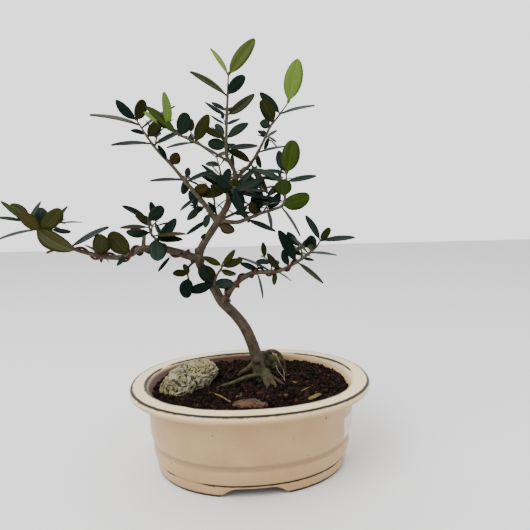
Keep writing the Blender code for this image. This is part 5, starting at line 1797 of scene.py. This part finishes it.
    def add_pairs(self, path: list[Vector], pairs: tuple, leaf: tuple, roll: float) -> list[float]:
        """Opposite leaves along a twig, each pair turned from the one below.

        Args:
            path: The twig's coarse points.
            pairs: The number of pairs and the shares where the first and last stand.
            leaf: Leaf lengths at those two.
            roll: The first pair's turn in degrees.

        Returns:
            The shares where the pairs stand.
        """
        count, first, last = pairs
        nodes = []
        for k in range(count):
            step = k / max(1, count - 1)
            nodes.append(min(first + (last - first) * step, self.LAST_LEAF))
            base, axis = along(path, nodes[-1])
            across = axis.cross(UP if abs(axis.z) < STEEP else Vector((0.0, 1.0, 0.0))).normalized()
            length = leaf[0] + (leaf[1] - leaf[0]) * step
            for half_turn in (0.0, 180.0):
                angle = roll + self.spray.turn * k + half_turn + self.dice.uniform(-14.0, 14.0)
                splay = math.radians(self.SPLAY + self.dice.uniform(-14.0, 12.0))
                long = length * self.dice.uniform(0.85, 1.15)
                wide = long * self.WIDTH_SHARE * self.dice.uniform(0.85, 1.15)
                twist = self.dice.uniform(-35.0, 35.0)
                outward = turned(across, angle, axis)
                direction = (axis * math.cos(splay) + outward * math.sin(splay)).normalized()
                face = square_to(axis * self.AXIS_PULL + self.LIGHT, direction)
                face = turned(face, twist, direction)
                tone = self.TONES[self.looks.choice(self.MIX)]
                grown = self.set_leaf(tone, self.new_leaf(base, direction, face, long, wide),
                                      [(base, axis)], self.NUDGES)
                if grown and self.looks.random() < self.YOUNG:
                    self.young_shoot(base, axis, grown)
        return nodes

    def grow(self) -> None:
        """Grow every leaf, then lay the twigs that carry them."""
        spray = self.spray
        self.add_blades()
        nodes = self.add_pairs(self.stem, spray.pairs, spray.leaf, spray.roll)
        nodes += [min(blade.at, self.LAST_LEAF) for blade in self.blades]
        self.twig(self.stem, self.stem_radii, nodes)
        for shoot, route in zip(self.shoots, self.routes):
            nodes = self.add_pairs(route, shoot.pairs, shoot.leaf, shoot.roll)
            self.twig(route, self.SHOOT_RADII, nodes)
        for route in self.routes:
            self.small_pair(route[-1], (route[-1] - route[-2]).normalized(), Tone.OLIVE, 4.5, 16.0)
        log.info("%s: %d leaves, %d left out", spray.name,
                 sum(len(leaves) for leaves in self.leaves.values()), self.skipped)


@dataclass
class Crown:
    """All the sprays, with their leaves joined by tone and their twigs joined together."""
    sides: int = 9
    twig_finish: Finish = Bark("twig bark", (0.090, 0.074, 0.045), (0.040, 0.031, 0.019))
    fullness: float = 1.09          # a leaf's width over that of its solid, whose sides are straight
    top_roughness: float = 0.40
    underside_roughness: float = 0.62

    # base, tip, width and tone of each leaf that the solids are too coarse to hold
    LONE = (
        ((-17.6, 2.0, 148.5), (-8.7, -3.0, 144.9), 6.2, Tone.YELLOWED),
        ((-23.0, 3.0, 152.2), (-37.5, -2.0, 143.6), 2.6, Tone.DARK),
        ((-23.5, 3.0, 155.8), (-26.0, -2.0, 147.6), 4.0, Tone.GREY),
        ((-23.9, 3.0, 143.0), (-28.7, 0.0, 140.9), 2.8, Tone.DARK),
        ((-69.7, -14.0, 133.6), (-74.9, -20.0, 128.2), 2.6, Tone.GREY),
        ((-46.3, -8.0, 131.2), (-53.4, -14.0, 123.3), 2.0, Tone.DARK),
        ((-58.0, -12.0, 150.9), (-63.7, -17.0, 156.2), 4.2, Tone.OLIVE),
        ((5.4, -10.0, 121.0), (-5.5, -14.0, 126.6), 3.4, Tone.DARK),
        ((-63.0, -10.0, 137.1), (-64.2, -11.0, 132.0), 4.6, Tone.YELLOWED),
    )

    def build(self, rods: RodGrower, grower: LeafGrower) -> None:
        """Grow every spray and set the pieces in the frame."""
        sprays = [Foliage(spray, LIMB[spray.limb]) for spray in SPRAYS]
        for spray in sprays:
            spray.grow()
        lines = [rod for spray in sprays for rod in spray.rods]
        twigs = rods.lay("twigs", lines, self.sides, self.twig_finish, 60.0)
        mark_grain(twigs.data)
        settle(twigs, [spray.name for spray in SPRAYS])
        forms = bpy.data.collections.new("leaf_forms")
        for form in LEAF_FORMS:
            forms.objects.link(bpy.data.objects.new(form.name, form.mesh()))
        for tone in Tone:
            leaves = [leaf for spray in sprays for leaf in spray.leaves[tone]]
            leaves += [leaf for leaf_tone, leaf in self.lone_leaves() if leaf_tone is tone]
            if leaves:
                self.dress(tone, leaves, forms, grower)
        clear_shapes(forms)

    def lone_leaves(self) -> list[tuple[Tone, Leaf]]:
        """The fine leaves that stand on bare wood, each with its tone."""
        found = []
        for base, tip, width, tone in self.LONE:
            reach = Vector(tip) - Vector(base)
            direction = reach.normalized()
            face = square_to(Foliage.FRONT, direction)
            found.append((tone, Leaf(metres(base), direction, face, reach.length, width, FLAT_FORM, 0.5)))
        return found

    def dress(self, tone: Tone, leaves: list[Leaf], forms: Collection,
              grower: LeafGrower) -> None:
        """Grow all the leaves of one tone as one piece.

        Args:
            tone: The tone.
            leaves: The leaves.
            forms: The shapes that they pick from.
            grower: The tree that sets them.
        """
        label = tone.name.lower()
        mesh = bpy.data.meshes.new("leaves_" + label)
        mesh.from_pydata([tuple(leaf.base) for leaf in leaves], [], [])
        turns, sizes = [], []
        for leaf in leaves:
            side = leaf.direction.cross(leaf.face).normalized()
            turns += Matrix((side, leaf.direction, leaf.face)).transposed().to_euler()
            sizes += [leaf.width * self.fullness * MM, leaf.length * MM, leaf.length * MM]
        attach(mesh, "turn", "FLOAT_VECTOR", turns)
        attach(mesh, "size", "FLOAT_VECTOR", sizes)
        attach(mesh, "form", "INT", [leaf.form for leaf in leaves])
        attach(mesh, "shade", "FLOAT", [leaf.shade for leaf in leaves])
        top, shift, rib, underside = tone.value
        rough = self.top_roughness
        skins = (LeafSkin(label + " leaf top", top, shift, rough),
                 LeafSkin(label + " leaf rib", rib, top, rough),
                 LeafSkin(label + " leaf underside", underside, rib, self.underside_roughness, 0.0))
        top, rib, underside = (skin.material() for skin in skins)
        thing = add_object(mesh.name, mesh)
        settle(grower.run(thing, Forms=forms, Top=top, Rib=rib, Underside=underside))


# ---------------------------------------------------------------- the studio
@dataclass
class Studio:
    """A pale floor, soft light and the camera."""
    floor_half: float = 1.6
    floor_colour: Colour = (0.86, 0.86, 0.865)
    sky: tuple[float, float] = (0.45, 1.9)      # strength in front of the plant and behind it
    key: tuple[Point, float, float] = ((-520.0, -420.0, 900.0), 700.0, 13.0)
    fill: tuple[Point, float, float] = ((700.0, -300.0, 500.0), 900.0, 3.0)
    target: Point = (0.0, 0.0, 110.0)
    camera_place: Point = (-19.04, -281.53, 159.0)
    lens: float = 31.25
    pitch: float = 7.2              # degrees below level
    yaw: float = -5.9               # about the upright
    roll: float = -0.92

    def floor(self) -> None:
        """Lay the floor."""
        mesh = bpy.data.meshes.new("floor")
        reach = self.floor_half
        mesh.from_pydata([(-reach, -reach, 0), (reach, -reach, 0), (reach, reach, 0), (-reach, reach, 0)],
                         [], [(0, 1, 2, 3)])
        floor = add_object("floor", mesh)
        material = bpy.data.materials.new("pale floor")
        material.use_nodes = True
        shader = material.node_tree.nodes["Principled BSDF"]
        shader.inputs["Base Color"].default_value = (*self.floor_colour, 1.0)
        shader.inputs["Roughness"].default_value = 0.7
        mesh.materials.append(material)

    def lamp(self, name: str, place: Point, size: float, power: float) -> None:
        """Hang a square soft light that looks at the plant."""
        light = bpy.data.lights.new(name, "AREA")
        light.size = size * MM
        light.energy = power
        lamp = add_object(name, light)
        lamp.location = ORIGIN + metres(place)
        toward = metres(self.target) - metres(place)
        lamp.rotation_euler = toward.to_track_quat("-Z", "Y").to_euler()

    def camera(self) -> None:
        """Stand the camera in front."""
        data = bpy.data.cameras.new("camera")
        data.lens = self.lens
        data.clip_start = 0.01
        camera = add_object("camera", data)
        basis = Matrix.Identity(3)
        for angle, axis in ((self.yaw, "Z"), (90.0 - self.pitch, "X"), (self.roll, "Z")):
            basis = basis @ Matrix.Rotation(math.radians(angle), 3, axis)
        camera.matrix_world = Matrix.Translation(ORIGIN + metres(self.camera_place)) @ basis.to_4x4()
        bpy.context.scene.camera = camera

    def build(self) -> None:
        """Set up floor, light and camera."""
        self.floor()
        self.lamp("key", *self.key)
        self.lamp("fill", *self.fill)
        world = bpy.data.worlds.new("studio")
        world.use_nodes = True
        backdrop = world.node_tree.nodes["Background"].inputs
        backdrop["Color"].default_value = (1.0, 1.0, 1.0, 1.0)
        bench = Bench(world.node_tree)
        depth = bench.axis(bench.coordinates("Generated"), 1)
        world.node_tree.links.new(bench.ramp(depth, -0.6, 0.6, *self.sky), backdrop["Strength"])
        bpy.context.scene.world = world
        self.camera()


def main() -> None:
    """Build every piece and the studio."""
    logging.basicConfig(level=logging.INFO, format="%(name)s %(message)s")
    rods = RodGrower("rods")
    pot = PotBody()
    pot.build()
    SoilBed(pot).build(GritGrower("grit"))
    Stone().build()
    Litter().build(rods)
    Timber().build()
    TrainingWires().build(rods)
    Crown().build(rods, LeafGrower("leaves"))
    Studio().build()


if __name__ == "__main__":
    main()
